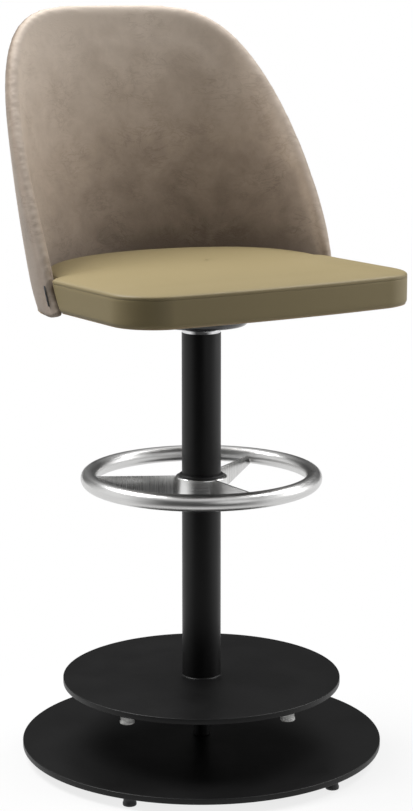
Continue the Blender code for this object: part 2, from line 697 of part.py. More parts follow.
def back_point(turn, height):
    """A point of the padded shell's mid surface."""
    share = (height - BACK_FOOT) / BACK_RISE
    half_width = through_levels(HALF_WIDTH_BOTTOM, HALF_WIDTH_MIDDLE, HALF_WIDTH_TOP, share)
    front = through_levels(WING_FRONT_BOTTOM, WING_FRONT_MIDDLE, WING_FRONT_TOP, share)
    rear = through_levels(REAR_BOTTOM, REAR_MIDDLE, REAR_TOP, share)
    power = PLAN_POWER_BOTTOM + (PLAN_POWER_TOP - PLAN_POWER_BOTTOM) * share
    ratio = column_ratio(turn)
    depth = max(0.0, 1 - abs(ratio) ** power) ** (1 / power)
    return Vector((half_width * ratio, front + (rear - front) * depth, height))


def back_normal(turn, height):
    """The mid surface's outward direction."""
    left = max(-1.0, turn - TURN_PROBE_SHARE)
    right = min(1.0, turn + TURN_PROBE_SHARE)
    across = back_point(right, height) - back_point(left, height)
    up = back_point(turn, height + SURFACE_PROBE) - back_point(turn, height - SURFACE_PROBE)
    return up.cross(across).normalized()


def grid_turns(edge_share=1.0):
    """Column positions of the back's grid, out to a share of its width."""
    side = BACK_COLUMNS // 2
    turns = [index / side for index in range(-side, side + 1)]
    return [turn for turn in turns if abs(turn) <= edge_share]


def column_heights(turn, low, rim_drop=0.0):
    """Heights of one column's points, from its low end to the rim or short of it."""
    high = rim_height(turn) - rim_drop
    return [low + (high - low) * row / BACK_ROWS for row in range(BACK_ROWS + 1)]


def shell_foot(turn):
    """Low end of the outer face and of the core: level all round."""
    return BACK_FOOT


def foam_end(turn):
    """Low end of the foam: just over the end of the inner fabric."""
    return lining_end(turn) + FOAM_END_RISE


def lining_end(turn):
    """Low end of the inner fabric: at the foot in the wings, just under the seam behind the seat."""
    span = LINING_SLOPE_END_SHARE - LINING_SLOPE_START_SHARE
    share = min(1.0, max(0.0, (LINING_SLOPE_END_SHARE - abs(turn)) / span))
    return BACK_FOOT + LINING_END_RISE * share * share * (3 - 2 * share)


def back_layer(name, inner, outer, low_end, turns, finish_name, rim_drop=0.0):
    """One solid layer of the back between two distances from the mid surface."""
    work = bmesh.new()
    grid = []
    for turn in turns:
        heights = column_heights(turn, low_end(turn), rim_drop)
        grid.append([work.verts.new(back_point(turn, height)) for height in heights])
    join_grid(work, grid)
    mesh = bpy.data.meshes.new(name)
    work.to_mesh(mesh)
    work.free()
    layer = piece(name, mesh, finish_name)
    wall = layer.modifiers.new("wall", "SOLIDIFY")
    wall.thickness = outer - inner
    wall.offset = (outer + inner) / (outer - inner)
    wall.use_even_offset = True
    return layer


def join_grid(work, columns):
    """Fills a grid of points, its columns running left to right and its rows upwards, facing the rear."""
    for left, right in zip(columns, columns[1:]):
        for low in range(len(left) - 1):
            work.faces.new((left[low], left[low + 1], right[low + 1], right[low]))


def back_cover():
    """The velvet: outer face, half round along the rim and inner face, as one sheet given its thickness."""
    work = bmesh.new()
    turns = grid_turns()
    outer, inner = [], []
    for turn in turns:
        outer.append([
            work.verts.new(back_point(turn, height) + back_normal(turn, height) * COVER_HALF)
            for height in column_heights(turn, BACK_FOOT)
        ])
        inner.append([
            work.verts.new(back_point(turn, height) - back_normal(turn, height) * COVER_HALF)
            for height in column_heights(turn, lining_end(turn))
        ])
    join_grid(work, outer)
    join_grid(work, [column[::-1] for column in inner])
    edge = [(-1.0, height) for height in column_heights(-1.0, BACK_FOOT)[:-1]]
    edge += [(turn, rim_height(turn)) for turn in turns]
    edge += [(1.0, height) for height in column_heights(1.0, BACK_FOOT)[-2::-1]]
    outer_edge = outer[0][:-1] + [column[-1] for column in outer] + outer[-1][-2::-1]
    inner_edge = inner[0][:-1] + [column[-1] for column in inner] + inner[-1][-2::-1]
    points = [back_point(*place) for place in edge]
    strips = []
    for index, (turn, height) in enumerate(edge):
        along = points[min(index + 1, len(points) - 1)] - points[max(index - 1, 0)]
        normal = back_normal(turn, height)
        beyond = along.cross(normal).normalized()
        strip = [outer_edge[index]]
        for step in range(1, RIM_STEPS):
            angle = math.pi * step / RIM_STEPS
            reach = (normal * math.cos(angle) + beyond * math.sin(angle)) * COVER_HALF
            strip.append(work.verts.new(points[index] + reach))
        strip.append(inner_edge[index])
        strips.append(strip)
    join_grid(work, strips)
    bmesh.ops.remove_doubles(work, verts=work.verts, dist=MERGE_DISTANCE)
    mesh = bpy.data.meshes.new("back_cover")
    work.to_mesh(mesh)
    work.free()
    cover = piece("back_cover", mesh, "taupe_velvet")
    wall = cover.modifiers.new("wall", "SOLIDIFY")
    wall.thickness = COVER_THICKNESS
    wall.offset = -1
    wall.use_even_offset = True


def seat_outline(height, inset):
    """The cushion's outline at one height, anticlockwise from the left end of the front edge's bow."""
    half_width = SEAT_HALF_WIDTH - inset
    corner = SEAT_CORNER_RADIUS - inset
    middle_x = SEAT_HALF_WIDTH - SEAT_CORNER_RADIUS
    middle_y = SEAT_CORNER_RADIUS - SEAT_FRONT
    half = []
    for index in range(1, FRONT_STEPS):
        across = middle_x * index / FRONT_STEPS
        bow = SEAT_FRONT_BOW * (1 - (across / middle_x) ** 2)
        half.append((across, inset - SEAT_FRONT - bow))
    for index in range(CORNER_STEPS + 1):
        turn = math.pi / 2 * index / CORNER_STEPS
        half.append((middle_x + corner * math.sin(turn), middle_y - corner * math.cos(turn)))
    wall = [shell_wall(turn, height, inset) for turn in grid_turns() if turn > 0]
    wing = wall[-1]
    step_y = back_point(1.0, height).y - COVER_HALF - SEAT_STEP_GAP - inset
    for index in range(STEP_CORNER_STEPS + 1):
        turn = math.pi / 2 * index / STEP_CORNER_STEPS
        round_off = SEAT_STEP_RADIUS - inset
        half.append((half_width - round_off * (1 - math.cos(turn)), step_y - round_off * (1 - math.sin(turn))))
    for index in range(STEP_CORNER_STEPS + 1):
        turn = math.pi / 2 * index / STEP_CORNER_STEPS
        round_off = SEAT_STEP_RADIUS + inset
        half.append((wing[0] + round_off * (1 - math.sin(turn)), step_y + round_off * (1 - math.cos(turn))))
    half += wall[::-1]
    front = (0, inset - SEAT_FRONT - SEAT_FRONT_BOW)
    rear = shell_wall(0.0, height, inset)
    mirrored = [(-x, y) for x, y in half[::-1]]
    return [front] + half + [rear] + mirrored


def shell_wall(turn, height, inset):
    """Where the cushion's side meets the shell's inner face at one height."""
    normal = back_normal(turn, height)
    level = Vector((normal.x, normal.y))
    reach = (COVER_HALF + SEAT_BACK_CLEARANCE) / level.length + inset
    point = back_point(turn, height)
    level.normalize()
    return (point.x - level.x * reach, point.y - level.y * reach)


def cushion_ring(height, inset, level=None):
    """One ring of the cushion: small insets follow the outline, larger ones shrink it to its middle."""
    followed = min(inset, SEAT_STEP_RADIUS / 2)
    middle_y = (shell_wall(0.0, height, 0)[1] - SEAT_FRONT) / 2
    shrink = 1 - (inset - followed) / SEAT_HALF_WIDTH
    lift = height if level is None else level
    outline = seat_outline(height, followed)
    return [Vector((x * shrink, middle_y + (y - middle_y) * shrink, lift)) for x, y in outline]


def loft(name, rings, finish_name, closed=False):
    """Skins a stack of rings; a closed stack joins its last ring to its first, and an open one is capped."""
    work = bmesh.new()
    rows = [[work.verts.new(point) for point in ring] for ring in rings]
    pairs = list(zip(rows, rows[1:]))
    if closed:
        pairs.append((rows[-1], rows[0]))
    else:
        work.faces.new(rows[0])
        work.faces.new(rows[-1])
    for low, high in pairs:
        for index in range(len(low)):
            after = (index + 1) % len(low)
            work.faces.new((low[index], low[after], high[after], high[index]))
    bmesh.ops.recalc_face_normals(work, faces=work.faces)
    mesh = bpy.data.meshes.new(name)
    work.to_mesh(mesh)
    work.free()
    return piece(name, mesh, finish_name)


def lower_edge(inset, foot, radius):
    """Rings of a rounded lower edge, as (inset, height) from the underside round to the side."""
    turns = [math.pi / 2 * index / EDGE_STEPS for index in range(EDGE_STEPS + 1)]
    return [(inset + radius * (1 - math.sin(turn)), foot + radius * (1 - math.cos(turn))) for turn in turns]


def crown(drop, shares=CROWN_SHARES):
    """Rings of the crowned top from the edge to the middle, a drop below the leather's own upper face."""
    top = SEAT_EDGE_HEIGHT - drop
    return [
        cushion_ring(SEAT_EDGE_HEIGHT, inset_share * SEAT_HALF_WIDTH, top + rise_share * SEAT_CROWN)
        for inset_share, rise_share in shares
    ]


def seat_cushion():
    """Board, foam, leather band, and the top panel that comes down over the edge to the seam."""
    under = LEATHER + GAP
    band_top = SEAM_HEIGHT - GAP
    outer = lower_edge(0, SEAT_FOOT, SEAT_EDGE_RADIUS) + [(0, band_top)]
    inner = [(LEATHER, band_top)] + lower_edge(LEATHER, SEAT_FOOT + LEATHER, SEAT_EDGE_RADIUS - LEATHER)[::-1]
    turn_under = SEAT_EDGE_RADIUS + BAND_TURN_UNDER
    section = [(turn_under, SEAT_FOOT)] + outer + inner + [(turn_under, SEAT_FOOT + LEATHER)]
    rings = [cushion_ring(height, inset) for inset, height in section]
    loft("seat_side_band", rings, "olive_leather", closed=True)
    skirt = [(0, SEAM_HEIGHT), (LEATHER, SEAM_HEIGHT), (LEATHER, SEAT_EDGE_HEIGHT - LEATHER)]
    rings = crown(0)[::-1] + [cushion_ring(height, inset) for inset, height in skirt]
    loft("seat_top_panel", rings + crown(LEATHER, CROWN_SHARES[1:]), "olive_leather")
    board_edge = SEAT_EDGE_RADIUS - under
    section = lower_edge(under, BOARD_FOOT, board_edge) + [(under, BOARD_TOP)]
    board = loft("seat_board", [cushion_ring(height, inset) for inset, height in section], "birch_plywood")
    drill_board(board)
    foam_foot = BOARD_TOP + GAP
    foam_top = SEAT_EDGE_HEIGHT - under
    foam_inset = under + GAP
    rings = [cushion_ring(foam_foot, foam_inset), cushion_ring(foam_top, foam_inset)]
    loft("seat_foam", rings + crown(under, CROWN_SHARES[1:]), "grey_foam")
    cover_inset = turn_under + GAP
    cover_foot = SEAT_FOOT + LEATHER - DUST_COVER_THICKNESS
    rings = [cushion_ring(cover_foot, cover_inset), cushion_ring(SEAT_FOOT + LEATHER, cover_inset)]
    dust_cover = loft("dust_cover", rings, "black_felt")
    opening = SWIVEL_PLATE_RADIUS + DUST_COVER_OPENING_MARGIN
    below = Matrix.Translation((0, 0, cover_foot - OVERRUN))
    cut(dust_cover, rods("dust_cover_opening", [below], opening, 2 * OVERRUN + LEATHER, ROUND_STEPS))
    holes = [place @ Matrix.Translation((0, 0, -OVERRUN)) for place in foot_screw_places(SEAT_FOOT)]
    cut(dust_cover, rods("dust_cover_holes", holes, BRACKET_SCREW_RADIUS + GAP, 2 * OVERRUN + LEATHER))


def drill_board(board):
    """Stepped bores for the T-nuts and pilot holes for the bracket screws."""
    barrel = SWIVEL_BOLT_RADIUS + GAP + T_NUT_BARREL_WALL + GAP
    bores = swivel_bolts(BOARD_FOOT - OVERRUN)
    cut(board, rods("t_nut_bores", bores, barrel, BOARD_THICKNESS + 2 * OVERRUN))
    recess = T_NUT_FLANGE + GAP
    flanges = swivel_bolts(BOARD_TOP - recess)
    cut(board, rods("t_nut_recesses", flanges, T_NUT_FLANGE_RADIUS + GAP, recess + OVERRUN))
    pilots = [place @ Matrix.Translation((0, 0, -OVERRUN)) for place in foot_screw_places(BOARD_FOOT)]
    cut(board, rods("board_pilots", pilots, BRACKET_SCREW_RADIUS + GAP, OVERRUN + BRACKET_SCREW_BITE + GAP))


def bracket_frame(turn):
    """Directions at a bracket (along the shell, outwards, up its slope) and its flat's distance inwards."""
    height = BACK_FOOT + BRACKET_UPRIGHT / 2
    outwards = back_normal(turn, height)
    along = outwards.cross(Vector((0, 0, 1))).normalized()
    up = along.cross(outwards).normalized()
    centre = back_point(turn, height)
    sides = [back_point(turn + side * 2 / BACK_COLUMNS, height) for side in (-1, 1)]
    spread = (sides[1] - sides[0]).length / 2
    bulge = (centre - (sides[0] + sides[1]) / 2).dot(outwards) * BRACKET_WIDTH / 2 / spread
    return centre, along, outwards, up, GAP + bulge - CORE_INNER


def bracket_line(turn):
    """The upright's outer flat as the point where it meets one height, and its direction upwards."""
    centre, along, outwards, up, depth = bracket_frame(turn)
    return centre - outwards * depth, along, outwards, up


def foot_direction(outwards):
    """Level direction from the shell towards the seat's middle."""
    return Vector((-outwards.x, -outwards.y, 0)).normalized()


def at_height(point, up, height):
    """Slides a point along the upright to one height."""
    return point + up * ((height - point.z) / up.z)


def foot_screw_places(height):
    """Places of the screws that go up through the brackets' feet."""
    places = []
    for turn in BRACKET_TURN_SHARES.values():
        point, along, outwards, up = bracket_line(turn)
        base = at_height(point, up, SEAT_FOOT - GAP - BRACKET_THICKNESS)
        spot = base + foot_direction(outwards) * BRACKET_FOOT * FOOT_SCREW_SHARE
        places.append(Matrix.Translation((spot.x, spot.y, height)))
    return places


def upright_screw_places(depth):
    """Places of the screws that go out through the uprights into the core, at a depth inside the outer flat."""
    places = []
    for turn in BRACKET_TURN_SHARES.values():
        point, along, outwards, up = bracket_line(turn)
        spot = at_height(point, up, SEAT_FOOT + BRACKET_UPRIGHT * UPRIGHT_SCREW_SHARE) - outwards * depth
        place = Matrix((up, along, outwards)).transposed().to_4x4()
        place.translation = spot
        places.append(place)
    return places


def brackets():
    """Three bent steel brackets, their screws, and the pilot holes in the back's core."""
    foot = SEAT_FOOT - GAP - BRACKET_THICKNESS
    hole = BRACKET_SCREW_RADIUS + GAP
    through = BRACKET_THICKNESS + 2 * OVERRUN
    low_places = foot_screw_places(foot - OVERRUN)
    side_places = upright_screw_places(BRACKET_THICKNESS + OVERRUN)
    for index, (side, turn) in enumerate(BRACKET_TURN_SHARES.items()):
        point, along, outwards, up = bracket_line(turn)
        bend = at_height(point, up, foot)
        upright_end = at_height(point, up, foot + BRACKET_UPRIGHT)
        corners = (upright_end, bend, bend + foot_direction(outwards) * BRACKET_FOOT)
        work = bmesh.new()
        sideways = along * BRACKET_WIDTH / 2
        rows = [[work.verts.new(corner + sideways * edge) for edge in (-1, 1)] for corner in corners]
        for high, low in zip(rows, rows[1:]):
            work.faces.new((high[0], high[1], low[1], low[0]))
        mesh = bpy.data.meshes.new(f"back_bracket_{side}")
        work.to_mesh(mesh)
        work.free()
        bracket = piece(f"back_bracket_{side}", mesh, "black_powder_coat", smooth=False)
        wall = bracket.modifiers.new("wall", "SOLIDIFY")
        wall.thickness = BRACKET_THICKNESS
        wall.offset = -1
        wall.use_even_offset = True
        cut(bracket, rods(f"bracket_holes_{side}", [low_places[index], side_places[index]], hole, through))
    length = BRACKET_THICKNESS + 2 * GAP + BRACKET_SCREW_BITE
    head = (BRACKET_SCREW_HEAD_RADIUS, BRACKET_SCREW_HEAD)
    screw = pan_screw("bracket_screw", *head, BRACKET_SCREW_RADIUS, length)
    places = {}
    for side, low, high in zip(BRACKET_TURN_SHARES, foot_screw_places(foot - GAP),
                               upright_screw_places(BRACKET_THICKNESS + GAP)):
        places[f"bracket_screw_{side}_foot"] = low
        places[f"bracket_screw_{side}_upright"] = high
    repeat(screw, places, "zinc_steel")


def back():
    """The shell: plywood core, foam on its inner side and the velvet cover over both."""
    core = back_layer("back_core", CORE_INNER, CORE_OUTER, shell_foot, grid_turns(), "birch_plywood")
    pilots = upright_screw_places(0)
    cut(core, rods("core_pilots", pilots, BRACKET_SCREW_RADIUS + GAP, BRACKET_SCREW_BITE + 2 * GAP))
    foam_turns = grid_turns(FOAM_SIDE_SHARE)
    back_layer("back_foam", FOAM_INNER, FOAM_OUTER, foam_end, foam_turns, "grey_foam", FOAM_RIM_DROP)
    back_cover()


def hang_on_joint():
    """Parents all that turns to an empty on the column's axis."""
    axis = bpy.data.objects.new("seat_swivel_axis", None)
    bpy.data.collections["bar_stool"].objects.link(axis)
    axis.location.z = THRUST_WASHER_FOOT + THRUST_WASHER_THICKNESS
    bpy.context.view_layer.update()
    turning = ("spindle", "retaining_ring", "swivel_", "t_nut", "seat_", "dust_cover", "back_", "bracket_")
    for thing in bpy.data.collections["bar_stool"].objects:
        if thing is not axis and thing.name.startswith(turning):
            thing.parent = axis
            thing.matrix_parent_inverse = axis.matrix_world.inverted()


def main():
    clear_scene()
    lower_plate()
    upper_plate()
    spacer_post()
    tie_bolt()
    column()
    pads("floor_pad", FLOOR_PAD_RADIUS, FLOOR_PAD_HEIGHT, 0.0, FLOOR_PAD_CIRCLE, FLOOR_PAD_FIRST_ANGLE,
         "black_nylon")
    pads("plate_glide", GLIDE_RADIUS, GLIDE_HEIGHT, UPPER_PLATE_FOOT - GAP - GLIDE_HEIGHT, GLIDE_CIRCLE,
         GLIDE_FIRST_ANGLE, "white_nylon")
    foot_ring()
    turning_joint()
    spindle()
    swivel_cover()
    swivel_plate()
    seat_cushion()
    back()
    brackets()
    hang_on_joint()


main()
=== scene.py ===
"""Looks of a swivel bar stool: velvet shell back, leather cushion, steel foot ring and two black plates."""
import json
import math

import bmesh
import bpy
from bpy.props import FloatProperty, FloatVectorProperty, IntProperty, PointerProperty
from bpy.types import Operator, Panel, PropertyGroup
from mathutils import Matrix, Vector
from mathutils.kdtree import KDTree


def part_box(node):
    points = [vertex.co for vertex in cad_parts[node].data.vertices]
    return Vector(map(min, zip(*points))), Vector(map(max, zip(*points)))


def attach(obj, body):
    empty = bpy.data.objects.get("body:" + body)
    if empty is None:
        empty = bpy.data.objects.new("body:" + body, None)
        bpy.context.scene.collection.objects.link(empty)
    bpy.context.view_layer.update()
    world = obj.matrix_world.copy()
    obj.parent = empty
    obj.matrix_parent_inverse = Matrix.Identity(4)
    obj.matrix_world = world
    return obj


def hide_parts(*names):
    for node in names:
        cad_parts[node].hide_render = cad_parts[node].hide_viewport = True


bl_info = {
    "name": "Swivel Bar Stool",
    "version": (1, 0, 0),
    "blender": (4, 5, 0),
    "location": "View3D > Sidebar > Bar Stool",
    "description": "Dresses a swivel bar stool: upholstery, powder coat, brushed steel and stage",
    "category": "Object",
}

MM = 0.001
MERGE = 0.02 * MM
# Steps round a turned piece.
TURN_STEPS = 128
PAD_STEPS = 40
# Most values of a noise lie in this band.
BAND = (0.3, 0.7)
# Frames that the padding takes to swell.
SWELL_FRAMES = 20
# Share of the half width by which a ring of the cushion shrinks to its middle.
NEARLY = 0.999

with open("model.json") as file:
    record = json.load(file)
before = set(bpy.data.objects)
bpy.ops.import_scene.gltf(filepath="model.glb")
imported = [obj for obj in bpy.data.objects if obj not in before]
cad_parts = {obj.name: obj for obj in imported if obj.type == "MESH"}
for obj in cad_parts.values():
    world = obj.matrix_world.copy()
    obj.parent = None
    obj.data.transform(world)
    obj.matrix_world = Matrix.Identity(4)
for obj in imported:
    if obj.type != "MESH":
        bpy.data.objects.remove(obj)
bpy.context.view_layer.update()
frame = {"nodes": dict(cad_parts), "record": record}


def radius_of(node):
    """Half the width of a CAD node, in metres."""
    low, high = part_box(node)
    return (high.x - low.x) / 2


def foot_of(node):
    """Height of a CAD node's lowest point."""
    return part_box(node)[0].z


def top_of(node):
    """Height of a CAD node's highest point."""
    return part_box(node)[1].z


def size(label, text, default, low=0.0, high=10.0):
    """A length that a user may change."""
    return FloatProperty(
        name=label, description=text, default=default, min=low, max=high, unit="LENGTH", precision=4
    )


def colour(label, text, default):
    """A colour that a user may change."""
    return FloatVectorProperty(
        name=label, description=text, default=default, size=3, min=0.0, max=1.0, subtype="COLOR"
    )


def amount(label, text, default, low=0.0, high=100.0):
    """A plain number that a user may change."""
    return FloatProperty(name=label, description=text, default=default, min=low, max=high)


def count(label, text, default):
    """A number of pieces or steps that a user may change."""
    return IntProperty(name=label, description=text, default=default, min=4)


def degrees(label, text, default):
    """An angle that a user may change, its default in degrees."""
    return FloatProperty(name=label, description=text, default=math.radians(default), unit="ROTATION")


class StoolStage(PropertyGroup):
    """Camera, floor and light."""

    camera_distance: size("Camera distance", "Level distance from the column to the camera", 3.2597)
    camera_height: size("Camera height", "Height of the camera over the floor", 1.1855)
    camera_aside: size("Camera aside", "How far the camera stands to the right of the column", 0.00784)
    camera_turn: degrees("Camera turn", "Turn of the camera round the column, from the seat's front", 32.5)
    camera_pitch: degrees("Camera pitch", "How far the camera looks down", 11.027)
    camera_lens: amount("Camera lens", "Focal length in millimetres on a 36 mm side", 96.497, 1, 500)
    floor_colour: colour("Floor colour", "Colour of the pale floor", (0.4, 0.4, 0.4))
    sky_strength: amount("Sky strength", "Strength of the soft light from all round", 0.04)
    lamp_distance: size("Lamp distance", "Distance of the lamps from the stool", 2.8)
    lamp_aim: size("Lamp aim", "Height that the lamps point at", 0.7)
    lamp_width: size("Lamp width", "Width of each round lamp", 1.8)
    key_bearing: degrees("Key bearing", "Way to the soft lamp behind at the left, from the front", -132.5)
    key_elevation: degrees("Key elevation", "Height of that lamp over the level", 56)
    key_power: amount("Key power", "Watts of that lamp", 96.0, 0, 2000)
    fill_bearing: degrees("Fill bearing", "Way to the high soft lamp at the right", 77.5)
    fill_elevation: degrees("Fill elevation", "Height of that lamp over the level", 50)
    fill_power: amount("Fill power", "Watts of that lamp", 47.0, 0, 2000)
    low_bearing: degrees("Low bearing", "Way to the low soft lamp at the right", 67.5)
    low_elevation: degrees("Low elevation", "Height of that lamp over the level", 10)
    low_power: amount("Low power", "Watts of that lamp", 11.0, 0, 2000)
    front_bearing: degrees("Front bearing", "Way to the low soft lamp in front", -2.5)
    front_elevation: degrees("Front elevation", "Height of that lamp over the level", 10)
    front_power: amount("Front power", "Watts of that lamp", 7.0, 0, 2000)


class StoolMetal(PropertyGroup):
    """Colours of the stand's finishes."""

    powder: colour("Powder coat", "Satin black of the plates and column", (0.0036, 0.0036, 0.0037))
    stainless: colour("Stainless", "Brushed steel of the foot ring", (0.7, 0.697, 0.69))
    # Painted light: a lighter copy of the ring's stainless, to brighten the hub's reflections.
    hub: colour("Hub", "Turned steel of the foot ring's hub", (0.86, 0.86, 0.85))
    chrome: colour("Chrome", "Polished cap of the column", (0.78, 0.78, 0.79))
    bowl: colour("Bowl", "Glossy cover under the seat", (0.03, 0.03, 0.032))
    black_nylon: colour("Black nylon", "Bush of the ring and floor pads", (0.01, 0.01, 0.0105))
    white_nylon: colour("White nylon", "Glides under the upper plate", (0.8, 0.8, 0.78))
    zinc: colour("Zinc", "Plated screws and shafts", (0.52, 0.52, 0.54))
    plate_edge: size("Plate edge", "Radius of the edges of the plates", 1.2 * MM)
    ring_tube: size("Ring tube", "Radius of the tube of the foot ring", 12.75 * MM)
    spoke_root: size("Spoke root", "Depth of the spokes at the hub", 44.7 * MM)
    spoke_tip: size("Spoke tip", "Depth of the spokes at the ring", 13.0 * MM)
    spoke_wall: size("Spoke wall", "Thickness of the spokes", 4.0 * MM)


class StoolSeat(PropertyGroup):
    """Leather cushion."""

    leather: colour("Leather", "Olive leather of the cushion", (0.328, 0.263, 0.134))
    half_width: size("Half width", "Half the width of the cushion", 251.0 * MM)
    front: size("Front", "From the column's axis to the corners of the front edge", 228.0 * MM)
    front_bow: size("Front bow", "How far the front edge bows out", 7.0 * MM)
    corner: size("Corner", "Radius of the front corners", 70.0 * MM)
    step_round: size("Step round", "Radius where the side steps in before the wing", 6.0 * MM)
    step_gap: size("Step gap", "Half way gap between that step and the wing", 6.5 * MM)
    back_clearance: size("Back clearance", "Gap between the cushion and the shell", 0.7 * MM)
    band: size("Band", "Height of the side from its foot to its top edge", 48.1 * MM)
    seam_drop: size("Seam drop", "How far the seam lies under the top edge", 6.2 * MM)
    seam_width: size("Seam width", "Width of the groove at the seam", 0.8 * MM)
    seam_depth: size("Seam depth", "Depth of the groove at the seam", 0.38 * MM)
    top_round: size("Top round", "Radius of the rolled top edge", 4.2 * MM)
    foot_round: size("Foot round", "Radius of the lower edge", 8.0 * MM)
    turn_under: size("Turn under", "Leather turned under the board", 18.0 * MM)
    crown: size("Crown", "Rise of the padding over its edge before it swells", 12.5 * MM)
    swell: size("Swell", "Most that the simulated padding may swell", 2.2 * MM)
    pressure: amount("Pressure", "Pressure of the padding under the leather", 4.0)
    held_fade: size("Held fade", "Width inside the outline over which the swell grows", 60.0 * MM)


class StoolBack(PropertyGroup):
    """Padded shell of the back."""

    velvet: colour("Velvet", "Main taupe of the velvet", (0.415, 0.33, 0.26))
    # Painted light and shade: velvet dark is painted shade for the low inside of the shell, and velvet light
    # is painted light and sheen for its top and rim.
    velvet_dark: colour("Velvet dark", "Pile that is pressed flat", (0.078, 0.05, 0.03))
    velvet_light: colour("Velvet light", "Pile that stands up", (0.72, 0.615, 0.52))
    drop: size("Drop", "How far the shell reaches under the cushion's foot", 4.9 * MM)
    rise: size("Rise", "Height of the shell", 431.0 * MM)
    thickness: size("Thickness", "Thickness of the padded shell", 22.0 * MM)
    half_width_bottom: size("Half width, bottom", "Half width at the foot", 245.9 * MM)
    half_width_middle: size("Half width, middle", "Half width half way up", 254.8 * MM)
    half_width_top: size("Half width, top", "Half width at the top", 251.0 * MM)
    wing_front_bottom: size("Wing front, bottom", "Where the wings start, at the foot", 18.7 * MM)
    wing_front_middle: size("Wing front, middle", "Where the wings start, half way up", 46.7 * MM)
    wing_front_top: size("Wing front, top", "Where the wings start, at the top", 57.2 * MM)
    wing_toe: size("Wing toe", "How far the wings' feet reach forward", 12.0 * MM)
    wing_drop: size("Wing drop", "How far the wings' feet reach down", 4.0 * MM)
    rear_bottom: size("Rear, bottom", "How far back the shell reaches at the foot", 199.2 * MM)
    rear_middle: size("Rear, middle", "How far back the shell reaches half way up", 239.9 * MM)
    rear_top: size("Rear, top", "How far back the shell reaches at the top", 267.6 * MM)
    arch_start: size("Arch start", "Height where the rim leaves the wings' front edges", 49.5 * MM)
    plan_power_bottom: amount("Plan power, bottom", "Squareness of the plan at the foot", 1.866)
    plan_power_top: amount("Plan power, top", "Squareness of the plan at the top", 2.797)
    arch_rise_power: amount("Arch rise power", "Squareness of the rim's arch, upwards", 2.33)
    arch_side_power: amount("Arch side power", "Squareness of the rim's arch, sideways", 4.909)
    voxel: size("Voxel", "Cell of the remeshed padding", 5.8 * MM)
    swell: size("Swell", "Most that the simulated padding may swell", 1.3 * MM)
    pressure: amount("Pressure", "Pressure of the padding under the velvet", 4.0)
    # Painted light: the rim is painted lighter, as sheen, over this width, and the outer face is painted
    # lighter low down.
    painted_sheen_rim: size("Raised rim", "Width inside the rim where the pile stands up", 26.0 * MM)
    outer_painted_light: amount("Outer pile", "How far the pile stands up low down outside", 0.6, 0, 1)
    tag_colour: colour("Tag", "Plain ribbon tag on the left wing", (0.15, 0.16, 0.175))
    tag_foot: size("Tag foot", "Height of the tag's foot over the shell's foot", 15.0 * MM)
    tag_length: size("Tag length", "Length of the tag", 29.0 * MM)
    tag_width: size("Tag width", "How far the tag stands out of the wing's edge", 4.4 * MM)
    tag_thickness: size("Tag thickness", "Thickness of the folded ribbon", 0.7 * MM)
    held_width: size("Held width", "Width along the rim and foot that doesn't swell", 6.0 * MM)
    held_fade: size("Held fade", "Width over which the swell then grows", 40.0 * MM)
    grid_columns: count("Grid columns", "Columns of the shell's grid", 120)
    grid_rows: count("Grid rows", "Rows of the shell's grid", 56)


def clamp(value, low=0.0, high=1.0):
    """The value, kept between two limits."""
    return min(high, max(low, value))


def deselect():
    """Leaves edit mode and selects nothing."""
    if bpy.context.mode != "OBJECT":
        bpy.ops.object.mode_set(mode="OBJECT")
    bpy.ops.object.select_all(action="DESELECT")


def settle(name, angle=math.radians(35)):
    """Names the finished active object, applies its place and shades it."""
    if bpy.context.mode != "OBJECT":
        bpy.ops.object.mode_set(mode="OBJECT")
    thing = bpy.context.object
    thing.name = name
    thing.data.name = name
    bpy.ops.object.transform_apply(location=True, rotation=True, scale=True)
    bpy.ops.object.shade_smooth_by_angle(angle=angle)
    return thing


def arc(centre_radius, centre_height, radius, start, end, steps=6):
    """Points of (radius, height) on an arc of a profile, its angles in degrees."""
    turns = [math.radians(start + (end - start) * step / steps) for step in range(steps + 1)]
    return [
        (centre_radius + radius * math.cos(turn), centre_height + radius * math.sin(turn)) for turn in turns
    ]


def turned(name, profile, steps=TURN_STEPS, place=(0, 0, 0)):
    """Spins a profile of (radius, height) round an upright axis at a place."""
    deselect()
    start = (profile[0][0], 0, profile[0][1])
    bpy.ops.mesh.primitive_circle_add(vertices=3, radius=MM)
    bpy.ops.object.mode_set(mode="EDIT")
    bpy.ops.mesh.merge(type="CENTER")
    bpy.ops.transform.translate(value=start)
    for (radius, height), (next_radius, next_height) in zip(profile, profile[1:]):
        step = (next_radius - radius, 0, next_height - height)
        bpy.ops.mesh.extrude_vertices_move(TRANSFORM_OT_translate={"value": step})
    bpy.ops.mesh.select_all(action="SELECT")
    bpy.ops.mesh.spin(steps=steps, angle=math.tau, center=(0, 0, 0), axis=(0, 0, 1))
    bpy.ops.mesh.select_all(action="SELECT")
    bpy.ops.mesh.remove_doubles(threshold=MERGE)
    bpy.ops.mesh.normals_make_consistent(inside=False)
    bpy.ops.object.mode_set(mode="OBJECT")
    bpy.context.object.location = place
    return settle(name)


def round_disc(foot, top, radius, edge, bore=0.0):
    """Profile of a disc with rounded outer edges, from its underside round to its top."""
    return (
        [(bore, foot)]
        + arc(radius - edge, foot + edge, edge, -90, 0)
        + arc(radius - edge, top - edge, edge, 0, 90)
        + [(bore, top)]
        + ([(bore, foot)] if bore else [])
    )


def copies(pattern, name, places):
    """Copies of a piece, each with its own mesh, turned and moved to its place; the pattern goes."""
    made = []
    for index, place in enumerate(places):
        deselect()
        pattern.select_set(True)
        bpy.context.view_layer.objects.active = pattern
        bpy.ops.object.duplicate(linked=False)
        thing = bpy.context.object
        thing.matrix_world = place
        made.append(settle(f"{name}_{index + 1}"))
    bpy.data.objects.remove(pattern, do_unlink=True)
    return made


